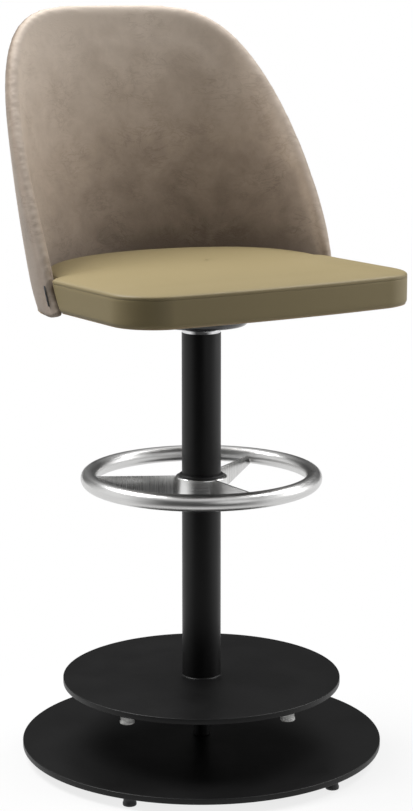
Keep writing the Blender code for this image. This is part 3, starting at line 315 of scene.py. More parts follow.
def wrapped_grid(name, columns, rows, place):
    """A flat grid wrapped over a form: place gives the point for shares across and up."""
    deselect()
    bpy.ops.mesh.primitive_grid_add(x_subdivisions=columns, y_subdivisions=rows, size=2)
    thing = bpy.context.object
    for vertex in thing.data.vertices:
        vertex.co = place((vertex.co.x + 1) / 2, (vertex.co.y + 1) / 2)
    bpy.ops.object.mode_set(mode="EDIT")
    bpy.ops.mesh.select_all(action="SELECT")
    bpy.ops.mesh.remove_doubles(threshold=MERGE)
    bpy.ops.mesh.normals_make_consistent(inside=False)
    return settle(name)


def apply_all(thing):
    """Applies every modifier of a piece, in order."""
    deselect()
    thing.select_set(True)
    bpy.context.view_layer.objects.active = thing
    for modifier in list(thing.modifiers):
        bpy.ops.object.modifier_apply(modifier=modifier.name)


def simulate_padding(thing, pressure, most, pinned):
    """Swells a closed form with cloth under pressure; pinned points stay, and none moves further than most."""
    rest = [vertex.co.copy() for vertex in thing.data.vertices]
    cloth = thing.modifiers.new("padding", "CLOTH")
    cloth.settings.quality = 6
    cloth.settings.mass = 0.3
    cloth.settings.tension_stiffness = 25
    cloth.settings.compression_stiffness = 25
    cloth.settings.bending_stiffness = 1.0
    cloth.settings.use_pressure = True
    cloth.settings.uniform_pressure_force = pressure
    cloth.settings.effector_weights.gravity = 0
    cloth.settings.vertex_group_mass = pinned
    scene = bpy.context.scene
    scene.frame_start = 1
    for number in range(1, SWELL_FRAMES + 1):
        scene.frame_set(number)
    apply_all(thing)
    scene.frame_set(1)
    for vertex, start in zip(thing.data.vertices, rest):
        move = vertex.co - start
        free = 1 - vertex.groups[0].weight
        eased = most * math.tanh(move.length / most) * free * free * (3 - 2 * free)
        vertex.co = start + move.normalized() * eased


def dress(thing, body, material, slot, *nodes):
    """Gives a piece its material and body, and hides the CAD nodes that it stands for; the slot is not used.
    """
    thing.data.materials.clear()
    thing.data.materials.append(material)
    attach(thing, body)
    if nodes:
        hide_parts(*nodes)


class Nodes:
    """Short calls for building the nodes of a material or a world."""

    def __init__(self, material):
        self.material = material
        self.material.use_nodes = True
        self.tree = self.material.node_tree
        self.shader = self.tree.nodes.get("Principled BSDF") or self.tree.nodes["Background"]

    def set(self, **values):
        """Sets sockets of the shader; a word's underscore stands for a space."""
        for name, value in values.items():
            if hasattr(value, "__len__"):
                value = (*value, 1.0)
            self.shader.inputs[name.replace("_", " ")].default_value = value

    def add(self, kind, **values):
        """A new node, with its properties and sockets set."""
        node = self.tree.nodes.new(kind)
        for name, value in values.items():
            if hasattr(node, name):
                setattr(node, name, value)
            else:
                node.inputs[name.replace("_", " ")].default_value = value
        return node

    def link(self, source, target):
        self.tree.links.new(source, target)

    def space(self, scale=(1, 1, 1), rotation=(0, 0, 0), source="Object"):
        """Coordinates, stretched and turned."""
        coordinates = self.add("ShaderNodeTexCoord")
        mapping = self.add("ShaderNodeMapping")
        mapping.inputs["Scale"].default_value = scale
        mapping.inputs["Rotation"].default_value = rotation
        self.link(coordinates.outputs[source], mapping.inputs["Vector"])
        return mapping.outputs["Vector"]

    def noise(self, vector, scale, detail=3.0, roughness=0.5, distortion=0.0):
        """A cloudy pattern."""
        node = self.add("ShaderNodeTexNoise")
        node.inputs["Scale"].default_value = scale
        node.inputs["Detail"].default_value = detail
        node.inputs["Roughness"].default_value = roughness
        node.inputs["Distortion"].default_value = distortion
        self.link(vector, node.inputs["Vector"])
        return node.outputs["Fac"]

    def cells(self, vector, scale, feature="F1"):
        """Distances in a pattern of cells."""
        node = self.add("ShaderNodeTexVoronoi", feature=feature)
        node.inputs["Scale"].default_value = scale
        self.link(vector, node.inputs["Vector"])
        return node.outputs["Distance"]

    def ramp(self, value, low, high, from_value=0.0, to_value=1.0):
        """Maps a value's stretch from low to high onto another."""
        node = self.add("ShaderNodeMapRange")
        node.inputs["From Min"].default_value = low
        node.inputs["From Max"].default_value = high
        node.inputs["To Min"].default_value = from_value
        node.inputs["To Max"].default_value = to_value
        self.link(value, node.inputs["Value"])
        return node.outputs["Result"]

    def mix(self, share, first, second):
        """Mixes two colours by a share."""
        node = self.add("ShaderNodeMix", data_type="RGBA")
        self.link(share, node.inputs["Factor"])
        colours = [socket for socket in node.inputs if socket.type == "RGBA"]
        for source, target in zip((first, second), colours):
            if isinstance(source, bpy.types.NodeSocket):
                self.link(source, target)
            else:
                target.default_value = (*source, 1.0)
        return next(socket for socket in node.outputs if socket.type == "RGBA")

    def math(self, operation, first, second):
        """One sum of two values or sockets."""
        node = self.add("ShaderNodeMath", operation=operation)
        for source, target in zip((first, second), node.inputs):
            if isinstance(source, bpy.types.NodeSocket):
                self.link(source, target)
            else:
                target.default_value = source
        return node.outputs["Value"]

    def bump(self, height, distance, strength=1.0, below=None):
        """Relief from a height, over another relief."""
        node = self.add("ShaderNodeBump")
        node.inputs["Strength"].default_value = strength
        node.inputs["Distance"].default_value = distance
        self.link(height, node.inputs["Height"])
        if below:
            self.link(below, node.inputs["Normal"])
        return node.outputs["Normal"]

    def to(self, socket, source):
        """Links a source to the shader."""
        self.link(source, self.shader.inputs[socket])


def shade(tint, factor):
    """A colour made darker or lighter."""
    return tuple(min(1.0, part * factor) for part in tint)


def powder_coat(tint):
    """Satin black powder coat: fine orange peel and a faint mottle in its sheen."""
    made = Nodes(bpy.data.materials.new("satin_powder_coat"))
    made.set(Base_Color=tint, Roughness=0.4, Specular_IOR_Level=0.3)
    spot = made.space()
    grain = made.noise(spot, scale=1400, detail=2)
    cloud = made.noise(spot, scale=14, detail=3)
    made.to("Base Color", made.mix(made.ramp(cloud, *BAND), shade(tint, 0.9), shade(tint, 1.12)))
    made.to("Roughness", made.ramp(cloud, *BAND, 0.37, 0.44))
    made.to("Normal", made.bump(grain, distance=0.03 * MM, strength=0.6))
    return made.material


def brushed_steel(name, tint, scale, rotation=(0, 0, 0), source="Object", roughness=(0.24, 0.36)):
    """Brushed stainless: long fine scratches in the colour, the roughness and the relief."""
    made = Nodes(bpy.data.materials.new(name))
    made.set(Base_Color=tint, Metallic=1.0)
    lines = made.noise(made.space(scale, rotation, source), scale=1, detail=2, roughness=0.6)
    smudge = made.noise(made.space(), scale=22, detail=3)
    made.to("Base Color", made.mix(made.ramp(lines, *BAND), shade(tint, 0.86), shade(tint, 1.1)))
    spread = made.ramp(lines, 0.25, 0.75, *roughness)
    made.to("Roughness", made.math("ADD", spread, made.ramp(smudge, *BAND, -0.03, 0.03)))
    made.to("Normal", made.bump(lines, distance=0.012 * MM, strength=0.5))
    return made.material


def polished(name, tint, roughness):
    """Chrome or polished metal with a faint unevenness."""
    made = Nodes(bpy.data.materials.new(name))
    made.set(Base_Color=tint, Metallic=1.0)
    cloud = made.noise(made.space(), scale=60, detail=2)
    made.to("Roughness", made.ramp(cloud, *BAND, roughness * 0.8, roughness * 1.3))
    made.to("Base Color", made.mix(cloud, shade(tint, 0.97), shade(tint, 1.02)))
    return made.material


def moulded(name, tint, roughness, grain_scale=900):
    """Moulded plastic: a fine skin and slight changes of gloss."""
    made = Nodes(bpy.data.materials.new(name))
    made.set(Base_Color=tint, IOR=1.5)
    spot = made.space()
    grain = made.noise(spot, scale=grain_scale, detail=2)
    cloud = made.noise(spot, scale=30, detail=2)
    made.to("Base Color", made.mix(made.ramp(cloud, *BAND), shade(tint, 0.92), shade(tint, 1.08)))
    made.to("Roughness", made.ramp(cloud, *BAND, roughness * 0.9, roughness * 1.12))
    made.to("Normal", made.bump(grain, distance=0.01 * MM, strength=0.4))
    return made.material


def leather(tint):
    """Semi-matt leather: fine pebble grain, pores, soft clouds of tone and a worn sheen."""
    made = Nodes(bpy.data.materials.new("olive_leather"))
    made.set(Base_Color=tint, IOR=1.48, Specular_IOR_Level=0.4)
    spot = made.space()
    pebble = made.ramp(made.cells(spot, 620, "DISTANCE_TO_EDGE"), 0.0, 0.12)
    fine = made.noise(spot, scale=1800, detail=2)
    cloud = made.noise(spot, scale=7, detail=3, roughness=0.55)
    tone = made.mix(made.ramp(cloud, *BAND), shade(tint, 0.96), shade(tint, 1.04))
    made.to("Base Color", made.mix(made.ramp(pebble, 0, 1, 0.0, 0.25), shade(tint, 0.93), tone))
    gloss = made.ramp(cloud, *BAND, 0.44, 0.5)
    made.to("Roughness", made.math("ADD", gloss, made.ramp(fine, *BAND, 0, 0.05)))
    low = made.bump(pebble, distance=0.05 * MM, strength=0.35)
    made.to("Normal", made.bump(fine, distance=0.02 * MM, strength=0.25, below=low))
    return made.material


def velvet(main, dark, light):
    """Velvet whose brushed pile leans in patches: clouds and short strokes of tone, sheen and a fine nap, over
    painted light and shade that the piece stores, dark low inside and light at the top and rim.
    """
    made = Nodes(bpy.data.materials.new("taupe_velvet"))
    made.set(Base_Color=main, Roughness=0.95, Sheen_Weight=0.55, Sheen_Roughness=0.7, IOR=1.35,
             Sheen_Tint=(1.0, 0.9, 0.81), Specular_IOR_Level=0.05)
    spot = made.space()
    warp = made.add("ShaderNodeTexNoise")
    warp.inputs["Scale"].default_value = 9
    warp.inputs["Detail"].default_value = 2
    made.link(spot, warp.inputs["Vector"])
    shift = made.add("ShaderNodeVectorMath", operation="SCALE")
    shift.inputs["Scale"].default_value = 0.05
    made.link(warp.outputs["Color"], shift.inputs[0])
    swirl = made.add("ShaderNodeVectorMath", operation="ADD")
    made.link(spot, swirl.inputs[0])
    made.link(shift.outputs["Vector"], swirl.inputs[1])
    cloud = made.noise(swirl.outputs["Vector"], scale=22, detail=4, roughness=0.65)
    stroke_space = made.add("ShaderNodeMapping")
    stroke_space.inputs["Scale"].default_value = (1.0, 1.0, 2.6)
    stroke_space.inputs["Rotation"].default_value = (0.0, math.radians(20), 0.0)
    made.link(swirl.outputs["Vector"], stroke_space.inputs["Vector"])
    field = made.noise(stroke_space.outputs["Vector"], scale=30, detail=4, roughness=0.6, distortion=0.7)
    ridge = made.math("ABSOLUTE", made.math("SUBTRACT", field, 0.5), 0)
    patch = made.ramp(made.noise(spot, scale=14, detail=2), 0.4, 0.6)
    stroke = made.math("MULTIPLY", made.ramp(ridge, 0.0, 0.05, 1.0, 0.0), patch)
    nap = made.noise(spot, scale=1500, detail=2)
    # The piece's painted light and shade: dark low down inside, light at the top and rim. The clouds and
    # strokes below are the real tone of the pile.
    raised = made.add("ShaderNodeAttribute", attribute_name="raised")
    nap_lean_and_painted_shading = made.math("ADD", made.ramp(cloud, *BAND, -0.12, 0.12), made.math("MULTIPLY", stroke, -0.13))
    nap_lean_and_painted_shading = made.math("MULTIPLY", nap_lean_and_painted_shading, made.ramp(raised.outputs["Fac"], 0.0, 0.6, 0.5, 1.0))
    nap_lean_and_painted_shading = made.math("ADD", nap_lean_and_painted_shading, raised.outputs["Fac"])
    tone = made.mix(made.ramp(nap_lean_and_painted_shading, 0.0, 0.5), dark, main)
    tone = made.mix(made.ramp(nap_lean_and_painted_shading, 0.5, 1.0), tone, light)
    speck = made.ramp(nap, 0.25, 0.75)
    made.to("Base Color", made.mix(made.math("MULTIPLY", speck, 0.1), tone, light))
    relief = made.bump(stroke, distance=0.5 * MM, strength=0.25)
    made.to("Normal", made.bump(nap, distance=0.12 * MM, strength=0.5, below=relief))
    return made.material


def plywood():
    """Birch plywood: pale plies seen at the edges and a faint grain."""
    made = Nodes(bpy.data.materials.new("birch_plywood"))
    tint = (0.55, 0.4, 0.24)
    made.set(Base_Color=tint, Roughness=0.6)
    grain = made.noise(made.space((6, 60, 60)), scale=1, detail=4, roughness=0.6)
    plies = made.noise(made.space((1, 1, 700)), scale=1, detail=1)
    tone = made.mix(made.ramp(grain, *BAND), shade(tint, 0.82), shade(tint, 1.1))
    made.to("Base Color", made.mix(made.ramp(plies, 0.45, 0.55, 0, 0.35), tone, shade(tint, 0.6)))
    made.to("Normal", made.bump(grain, distance=0.05 * MM, strength=0.4))
    return made.material


def cut_foam():
    """Upholstery foam: open cells."""
    made = Nodes(bpy.data.materials.new("cut_foam"))
    tint = (0.5, 0.5, 0.48)
    made.set(Base_Color=tint, Roughness=0.95)
    depth = made.cells(made.space(), 700)
    made.to("Base Color", made.mix(made.ramp(depth, 0, 0.6), shade(tint, 0.75), shade(tint, 1.1)))
    made.to("Normal", made.bump(depth, distance=0.3 * MM, strength=0.6))
    return made.material


def felt():
    """Black spun-bonded dust cover with its dimpled bond points."""
    made = Nodes(bpy.data.materials.new("dust_cover_felt"))
    tint = (0.018, 0.018, 0.018)
    made.set(Base_Color=tint, Roughness=0.95)
    spot = made.space()
    fibres = made.noise(spot, scale=900, detail=4, roughness=0.7, distortion=1.5)
    dots = made.cells(spot, 450)
    made.to("Base Color", made.mix(made.ramp(fibres, *BAND), shade(tint, 0.7), shade(tint, 1.7)))
    made.to("Normal", made.bump(dots, distance=0.1 * MM, strength=0.6))
    return made.material


def ribbon(tint):
    """Woven ribbon: fine crosswise threads."""
    made = Nodes(bpy.data.materials.new("tag_ribbon"))
    made.set(Base_Color=tint, Roughness=0.8)
    threads = made.noise(made.space((300, 300, 2600)), scale=1, detail=2)
    made.to("Base Color", made.mix(made.ramp(threads, *BAND), shade(tint, 0.75), shade(tint, 1.25)))
    made.to("Normal", made.bump(threads, distance=0.1 * MM, strength=0.5))
    return made.material


FLOOR_RADIUS = 60.0
# Metres from the column over which the floor's glow in reflections fades, and its shadow does.
NEAR_GLOW = (0.4, 1.0)
SHADOW_FADE = (0.26, 0.5)
# Shares towards the viewer, sideways and upwards between which a reflected direction changes its glow.
FRONT_GLOW = (0.35, 0.85)
SIDE_GLOW = (0.6, 0.95)
OVERHEAD_GLOW = (0.42, 0.8)


class STOOL_OT_stage(Operator):
    """Places the camera, the pale floor and the soft light"""

    bl_idname = "stool.stage"
    bl_label = "Stage"

    def execute(self, context):
        stage = context.scene.stool_stage
        self.camera(context, stage)
        self.floor(stage)
        self.sky(context, stage)
        self.lamps(stage)
        context.scene.view_settings.view_transform = "Standard"
        return {"FINISHED"}

    def camera(self, context, stage):
        turn, distance, aside = stage.camera_turn, stage.camera_distance, stage.camera_aside
        across = aside * math.cos(turn) - distance * math.sin(turn)
        along = -aside * math.sin(turn) - distance * math.cos(turn)
        facing = (math.pi / 2 - stage.camera_pitch, 0, -turn)
        bpy.ops.object.camera_add(location=(across, along, stage.camera_height), rotation=facing)
        camera = context.object
        camera.name = "camera"
        camera.data.lens = stage.camera_lens
        camera.data.sensor_width = 36
        camera.data.clip_end = 100
        context.scene.camera = camera

    def floor(self, stage):
        """A pale floor: white with a faint shadow to the camera, and mirrored white near by and in front."""
        deselect()
        bpy.ops.mesh.primitive_circle_add(vertices=96, radius=FLOOR_RADIUS, fill_type="NGON")
        floor = settle("floor")
        made = Nodes(bpy.data.materials.new("floor"))
        made.set(Base_Color=stage.floor_colour, Roughness=0.9, Specular_IOR_Level=0.0)
        spot = made.space()
        length = made.add("ShaderNodeVectorMath", operation="LENGTH")
        made.link(spot, length.inputs[0])
        away = length.outputs["Value"]
        speck = made.noise(spot, scale=300, detail=2)
        tint = stage.floor_colour
        made.to("Base Color", made.mix(speck, shade(tint, 0.99), shade(tint, 1.01)))
        path = made.add("ShaderNodeLightPath")
        camera = path.outputs["Is Camera Ray"]
        white = made.add("ShaderNodeEmission")
        ahead = made.add("ShaderNodeVectorMath", operation="DOT_PRODUCT")
        ahead.inputs[1].default_value = (-math.sin(stage.camera_turn), -math.cos(stage.camera_turn), 0)
        made.link(spot, ahead.inputs[0])
        ahead = made.math("DIVIDE", ahead.outputs["Value"], away)
        near_glow = made.ramp(away, *NEAR_GLOW, 0.85, 0.05)
        front_glow = made.ramp(ahead, *FRONT_GLOW, 0.9, 0.05)
        glow = made.math("MAXIMUM", near_glow, front_glow)
        made.link(made.math("MAXIMUM", camera, glow), white.inputs["Strength"])
        paper = made.add("ShaderNodeBsdfDiffuse", Color=(1, 1, 1, 1))
        seen = made.add("ShaderNodeMixShader")
        made.link(made.ramp(away, *SHADOW_FADE, 0.8, 1.0), seen.inputs["Fac"])
        made.link(paper.outputs["BSDF"], seen.inputs[1])
        made.link(white.outputs["Emission"], seen.inputs[2])
        blend = made.add("ShaderNodeMixShader")
        made.link(made.math("MAXIMUM", camera, path.outputs["Is Glossy Ray"]), blend.inputs["Fac"])
        made.link(made.shader.outputs["BSDF"], blend.inputs[1])
        made.link(seen.outputs["Shader"], blend.inputs[2])
        output = made.tree.nodes["Material Output"]
        made.link(blend.outputs["Shader"], output.inputs["Surface"])
        floor.data.materials.append(made.material)

    def sky(self, context, stage):
        """White to the camera, white at the sides and overhead in reflections, and faint as light."""
        made = Nodes(bpy.data.worlds.new("studio"))
        context.scene.world = made.material
        direction = made.add("ShaderNodeTexCoord").outputs["Generated"]
        across = made.add("ShaderNodeVectorMath", operation="DOT_PRODUCT")
        across.inputs[1].default_value = (math.cos(stage.camera_turn), -math.sin(stage.camera_turn), 0)
        made.link(direction, across.inputs[0])
        up = made.add("ShaderNodeSeparateXYZ")
        made.link(direction, up.inputs[0])
        sides = made.ramp(made.math("ABSOLUTE", across.outputs["Value"], 0), *SIDE_GLOW)
        glow = made.math("MAXIMUM", sides, made.ramp(up.outputs["Z"], *OVERHEAD_GLOW, 0.0, 0.8))
        path = made.add("ShaderNodeLightPath")
        mirrored = made.math("MAXIMUM", path.outputs["Is Glossy Ray"], path.outputs["Is Transmission Ray"])
        mirrored = made.math("MULTIPLY", mirrored, made.ramp(glow, 0, 1, 0.06, 1.0))
        seen = made.math("MAXIMUM", path.outputs["Is Camera Ray"], mirrored)
        made.link(made.math("MAXIMUM", seen, stage.sky_strength), made.shader.inputs["Strength"])
        made.shader.inputs["Color"].default_value = (1, 1, 1, 1)

    def lamps(self, stage):
        """Large soft lamps high at both sides, and two weak low ones, all pointed at the stool."""
        for name in ("key", "fill", "low", "front"):
            bearing, elevation = getattr(stage, f"{name}_bearing"), getattr(stage, f"{name}_elevation")
            level = math.cos(elevation)
            way = Vector((math.sin(bearing) * level, -math.cos(bearing) * level, math.sin(elevation)))
            place = Vector((0, 0, stage.lamp_aim)) + way * stage.lamp_distance
            facing = way.to_track_quat("Z", "Y").to_euler()
            bpy.ops.object.light_add(type="AREA", location=place, rotation=facing)
            lamp = bpy.context.object
            lamp.name = f"{name}_lamp"
            lamp.data.energy = getattr(stage, f"{name}_power")
            lamp.data.shape = "DISK"
            lamp.data.size = stage.lamp_width
            lamp.visible_camera = False


class STOOL_OT_plates(Operator):
    """Turns the two base plates and the post between them"""

    bl_idname = "stool.plates"
    bl_label = "Base plates"

    def execute(self, context):
        metal = context.scene.stool_metal
        coat = powder_coat(metal.powder)
        for node in ("lower_plate", "upper_plate"):
            profile = round_disc(foot_of(node), top_of(node), radius_of(node), metal.plate_edge)
            dress(turned(f"{node}_disc", profile, 2 * TURN_STEPS), "base", coat, "powder_coat", node)
        profile = round_disc(foot_of("spacer_post"), top_of("spacer_post"), radius_of("spacer_post"), MM)
        dress(turned("post_between_plates", profile), "base", coat, "powder_coat", "spacer_post")
        return {"FINISHED"}


class STOOL_OT_pads(Operator):
    """Moulds the black floor pads and the white glides of the upper plate"""

    bl_idname = "stool.pads"
    bl_label = "Pads and glides"

    def execute(self, context):
        metal = context.scene.stool_metal
        black = moulded("floor_pad_nylon", metal.black_nylon, 0.5)
        white = moulded("glide_nylon", metal.white_nylon, 0.42)
        self.row("floor_pad", black, "black_nylon", "lower_plate")
        self.row("plate_glide", white, "white_nylon", "upper_plate")
        return {"FINISHED"}

    def row(self, node, material, slot, plate):
        """Pads of one kind: a flared foot, a waist and a flange under the plate."""
        nodes = sorted(name for name in frame["nodes"] if name.startswith(f"{node}_"))
        radius = max(radius_of(name) for name in nodes)
        height = foot_of(plate) - foot_of(nodes[0])
        foot_round, top_round = 1.4 * MM, 0.8 * MM
        waist = radius * 0.9
        profile = (
            [(0, 0)]
            + arc(radius - foot_round, foot_round, foot_round, -90, 0)
            + [(radius, height * 0.3), (waist, height * 0.42), (waist, height * 0.8)]
            + arc(radius - top_round, height - top_round, top_round, 0, 90)
            + [(0, height)]
        )
        places = []
        for name in nodes:
            low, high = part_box(name)
            places.append(Matrix.Translation(((low.x + high.x) / 2, (low.y + high.y) / 2, low.z)))
        pads = copies(turned(f"{node}_pattern", profile, PAD_STEPS), f"{node}_round", places)
        for name, pad in zip(nodes, pads):
            dress(pad, "base", material, slot, name)


class STOOL_OT_column(Operator):
    """Turns the column, its weld, its chrome cap, the washer and the bowl under the seat"""

    bl_idname = "stool.column"
    bl_label = "Column and bowl"

    def execute(self, context):
        metal = context.scene.stool_metal
        coat = bpy.data.materials["satin_powder_coat"]
        radius, wall, edge = radius_of("column_tube"), 2.5 * MM, 0.4 * MM
        foot, top = foot_of("column_tube"), top_of("column_tube")
        profile = round_disc(foot, top, radius, edge, radius - wall)
        dress(turned("column_round", profile), "base", coat, "powder_coat", "column_tube")
        hollow, leg, sunk = 2.2 * MM, 2.6 * MM, 0.3 * MM
        profile = (
            [(radius, foot + leg)]
            + arc(radius + hollow, foot + 2.0 * MM, hollow, 180, 270, 8)
            + [(radius + leg, foot - sunk), (radius, foot - sunk), (radius, foot + leg)]
        )
        dress(turned("column_weld", profile), "base", coat, "powder_coat")
        self.cap(metal)
        self.bowl(metal)
        return {"FINISHED"}

    def cap(self, metal):
        """Chrome cap with a rounded edge, and the dark washer that the seat turns on."""
        radius, top, foot = radius_of("column_cap"), top_of("column_cap"), top_of("column_tube")
        bore = radius_of("spindle") / 2 + MM
        edge, inset = 1.6 * MM, 0.5 * MM
        profile = (
            [(bore, foot), (radius - inset, foot)]
            + arc(radius - edge, top - edge, edge, 0, 90, 10)
            + [(bore, top), (bore, foot)]
        )
        chrome = polished("polished_chrome", metal.chrome, 0.14)
        dress(turned("column_cap_ring", profile), "base", chrome, "bright_chrome", "column_cap")
        low, high = foot_of("thrust_washer"), top_of("thrust_washer")
        profile = round_disc(low, high, radius_of("thrust_washer"), 0.8 * MM, bore)
        nylon = moulded("bush_nylon", metal.black_nylon, 0.45)
        dress(turned("thrust_washer_round", profile), "base", nylon, "black_nylon", "thrust_washer")

    def bowl(self, metal):
        """Glossy dark bowl: flat underneath, then a full curve up to a rolled rim."""
        foot, top = foot_of("swivel_cover"), top_of("swivel_cover")
        rim = radius_of("swivel_cover")
        wall, flat, bore, lip = 2.0 * MM, 66.0 * MM, 17.0 * MM, 1.5 * MM
        rise = top - lip - foot

        def side(inwards, steps=16):
            turns = [math.pi / 2 * step / steps for step in range(steps + 1)]
            across, up = rim - flat - inwards, rise - inwards
            return [(flat + across * math.sin(turn), foot + rise - up * math.cos(turn)) for turn in turns]

        outer = [(bore, foot)] + side(0) + arc(rim - wall / 2, top - wall / 2, wall / 2, 0, 180)
        profile = outer + side(wall)[::-1] + [(bore, foot + wall), (bore, foot)]
        gloss = moulded("bowl_gloss", metal.bowl, 0.12, 300)
        Nodes(gloss).set(Coat_Weight=0.6, Coat_Roughness=0.08)
        dress(turned("swivel_bowl", profile), "seat", gloss, "gloss_cover", "swivel_cover")


class STOOL_OT_foot_ring(Operator):
    """Bends the foot ring and makes its spokes, hub and bush"""

    bl_idname = "stool.foot_ring"
    bl_label = "Foot ring"

    def execute(self, context):
        metal = context.scene.stool_metal
        low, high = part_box("foot_ring_tube")
        height = (low.z + high.z) / 2
        tube = metal.ring_tube
        ring = high.x - tube
        deselect()
        bpy.ops.mesh.primitive_torus_add(
            major_segments=192, minor_segments=40, major_radius=ring, minor_radius=tube,
            location=(0, 0, height),
        )
        steel = brushed_steel("ring_steel", metal.stainless, (9, 260, 1), source="UV", roughness=(0.26, 0.36))
        dress(settle("foot_ring_round"), "base", steel, "brushed_stainless", "foot_ring_tube")
        self.hub(metal)
        self.spokes(metal, height, ring)
        return {"FINISHED"}

    def hub(self, metal):
        """Hub of the spokes, and the collar of the bush that stands out of its top."""
        low, top, radius = foot_of("foot_ring_hub"), top_of("foot_ring_hub"), radius_of("foot_ring_hub")
        wall, edge = 7.9 * MM, 2.4 * MM
        # Painted light: the hub's steel is the ring's stainless made lighter, to brighten its reflections.
        steel = brushed_steel("hub_steel", metal.hub, (1, 1, 3800), roughness=(0.2, 0.3))
        profile = round_disc(low, top, radius, edge, radius - wall)
        dress(turned("foot_ring_hub_round", profile), "base", steel, "brushed_stainless", "foot_ring_hub")
        gap, shoulder, shoulder_round = 0.3 * MM, 2.0 * MM, 1.2 * MM
        collar, collar_foot, collar_top = radius_of("foot_ring_bush"), top + gap, top + 4.6 * MM
        column = radius_of("column_tube") + gap
        profile = (
            [(column, collar_foot), (collar, collar_foot)]
            + arc(collar - shoulder_round, top + shoulder, shoulder_round, 0, 60, 5)
            + [(column + 0.6 * MM, collar_top), (column, collar_top), (column, collar_foot)]
        )
        nylon = bpy.data.materials["bush_nylon"]
        dress(turned("foot_ring_bush_collar", profile), "base", nylon, "black_nylon", "foot_ring_bush")

    def spokes(self, metal, height, ring):
        """Three plates on edge, deep at the hub and shallow at the ring, cut to fit the tube."""
        top = 2.0 * MM
        root = radius_of("foot_ring_hub") - 0.5 * MM
        reach = metal.ring_tube + 0.2 * MM
        start = math.pi - math.asin(top / reach)
        end = math.pi - math.asin((top - metal.spoke_tip) / reach)
        steps = 8
        turns = [start + (end - start) * step / steps for step in range(steps + 1)]
        outline = [(ring + reach * math.cos(turn), reach * math.sin(turn)) for turn in turns]
        outline = [(root, top)] + outline + [(root, top - metal.spoke_root)]
        for name, bearing in (("left", 150), ("right", 30), ("front", -90)):
            turn = math.radians(bearing)
            steel = brushed_steel(f"spoke_steel_{name}", metal.stainless, (1500, 3, 3), (0, 0, -turn))
            spoke = self.plate(outline, metal.spoke_wall)
            spoke.matrix_world = Matrix.Translation((0, 0, height)) @ Matrix.Rotation(turn, 4, "Z")
            spoke = settle(f"foot_ring_spoke_{name}_plate")
            dress(spoke, "base", steel, "brushed_stainless", f"foot_ring_spoke_{name}")

    def plate(self, outline, wall):
        """A flat plate on edge in the XZ plane with its edges broken."""
        deselect()
        bpy.ops.mesh.primitive_circle_add(vertices=len(outline), fill_type="NGON", radius=MM)
        plate = bpy.context.object
        for vertex, (across, up) in zip(plate.data.vertices, outline):
            vertex.co = (across, -wall / 2, up)
        bpy.ops.object.mode_set(mode="EDIT")
        bpy.ops.mesh.select_all(action="SELECT")
        bpy.ops.mesh.extrude_region_move(TRANSFORM_OT_translate={"value": (0, wall, 0)})
        bpy.ops.mesh.select_all(action="SELECT")
        bpy.ops.mesh.normals_make_consistent(inside=False)
        bpy.ops.object.mode_set(mode="OBJECT")
        bevel = plate.modifiers.new("edges", "BEVEL")
        bevel.width = 0.5 * MM
        bevel.segments = 2
        bevel.limit_method = "ANGLE"
        bevel.angle_limit = math.radians(50)
        bpy.ops.object.modifier_apply(modifier=bevel.name)
        return plate


def through_levels(bottom, middle, top, share):
    """The value at a share of the rise, on the parabola through three values."""
    rest = 1 - share
    return bottom * rest * (rest - share) + middle * 4 * share * rest + top * share * (share - rest)


class Shell:
    """The form of the back's mid surface, from its sizes."""

    def __init__(self, back):
        self.back = back
        self.foot = foot = foot_of("seat_side_band") - back.drop
        self.arch_foot = foot + back.arch_start
        self.arch_top = foot + back.rise

    def rim(self, ratio):
        """Height of the rim at a share of the half width."""
        back = self.back
        level = max(0.0, 1 - abs(ratio) ** back.arch_side_power) ** (1 / back.arch_rise_power)
        return self.arch_foot + (self.arch_top - self.arch_foot) * level

    def point(self, turn, height):
        """A point of the mid surface; turn runs from -1 at the left wing to 1 at the right one."""
        back = self.back
        share = (height - self.foot) / back.rise
        widths = back.half_width_bottom, back.half_width_middle, back.half_width_top
        half_width = through_levels(*widths, share)
        front = through_levels(back.wing_front_bottom, back.wing_front_middle, back.wing_front_top, share)
        front -= back.wing_toe * max(0.0, 1 - (height - self.foot) / back.arch_start) ** 2
        rear = through_levels(back.rear_bottom, back.rear_middle, back.rear_top, share)
        power = back.plan_power_bottom + (back.plan_power_top - back.plan_power_bottom) * share
        ratio = math.sin(turn * math.pi / 2)
        depth = max(0.0, 1 - abs(ratio) ** power) ** (1 / power)
        return Vector((half_width * ratio, front + (rear - front) * depth, height))

    def rim_tree(self):
        """Points along the rim and the wings' front edges, for finding the distance to them."""
        turn_steps, wing_steps = 100, 20
        turns = [index / turn_steps for index in range(-turn_steps, turn_steps + 1)]
        edge = [self.point(turn, self.rim(math.sin(turn * math.pi / 2))) for turn in turns]
        wings = [self.foot + (self.arch_foot - self.foot) * index / wing_steps for index in range(wing_steps)]
        edge += [self.point(side, height) for side in (-1.0, 1.0) for height in wings]
        tree = KDTree(len(edge))
        for index, point in enumerate(edge):
            tree.insert(point, index)
        tree.balance()
        return tree

    def normal(self, turn, height):
        """The outward direction."""
        probe = 0.004
        left, right = max(-1.0, turn - probe), min(1.0, turn + probe)
        across = self.point(right, height) - self.point(left, height)
        up = self.point(turn, height + 0.5 * MM) - self.point(turn, height - 0.5 * MM)
        return up.cross(across).normalized()

    def inner_wall(self, turn, height, gap, reach):
        """A plan point inside the inner face, by a gap square to it and then a level reach."""
        normal = self.normal(turn, height)
        level = Vector((normal.x, normal.y))
        total = (self.back.thickness / 2 + gap) / level.length + reach
        level.normalize()
        point = self.point(turn, height)
        return point.x - level.x * total, point.y - level.y * total


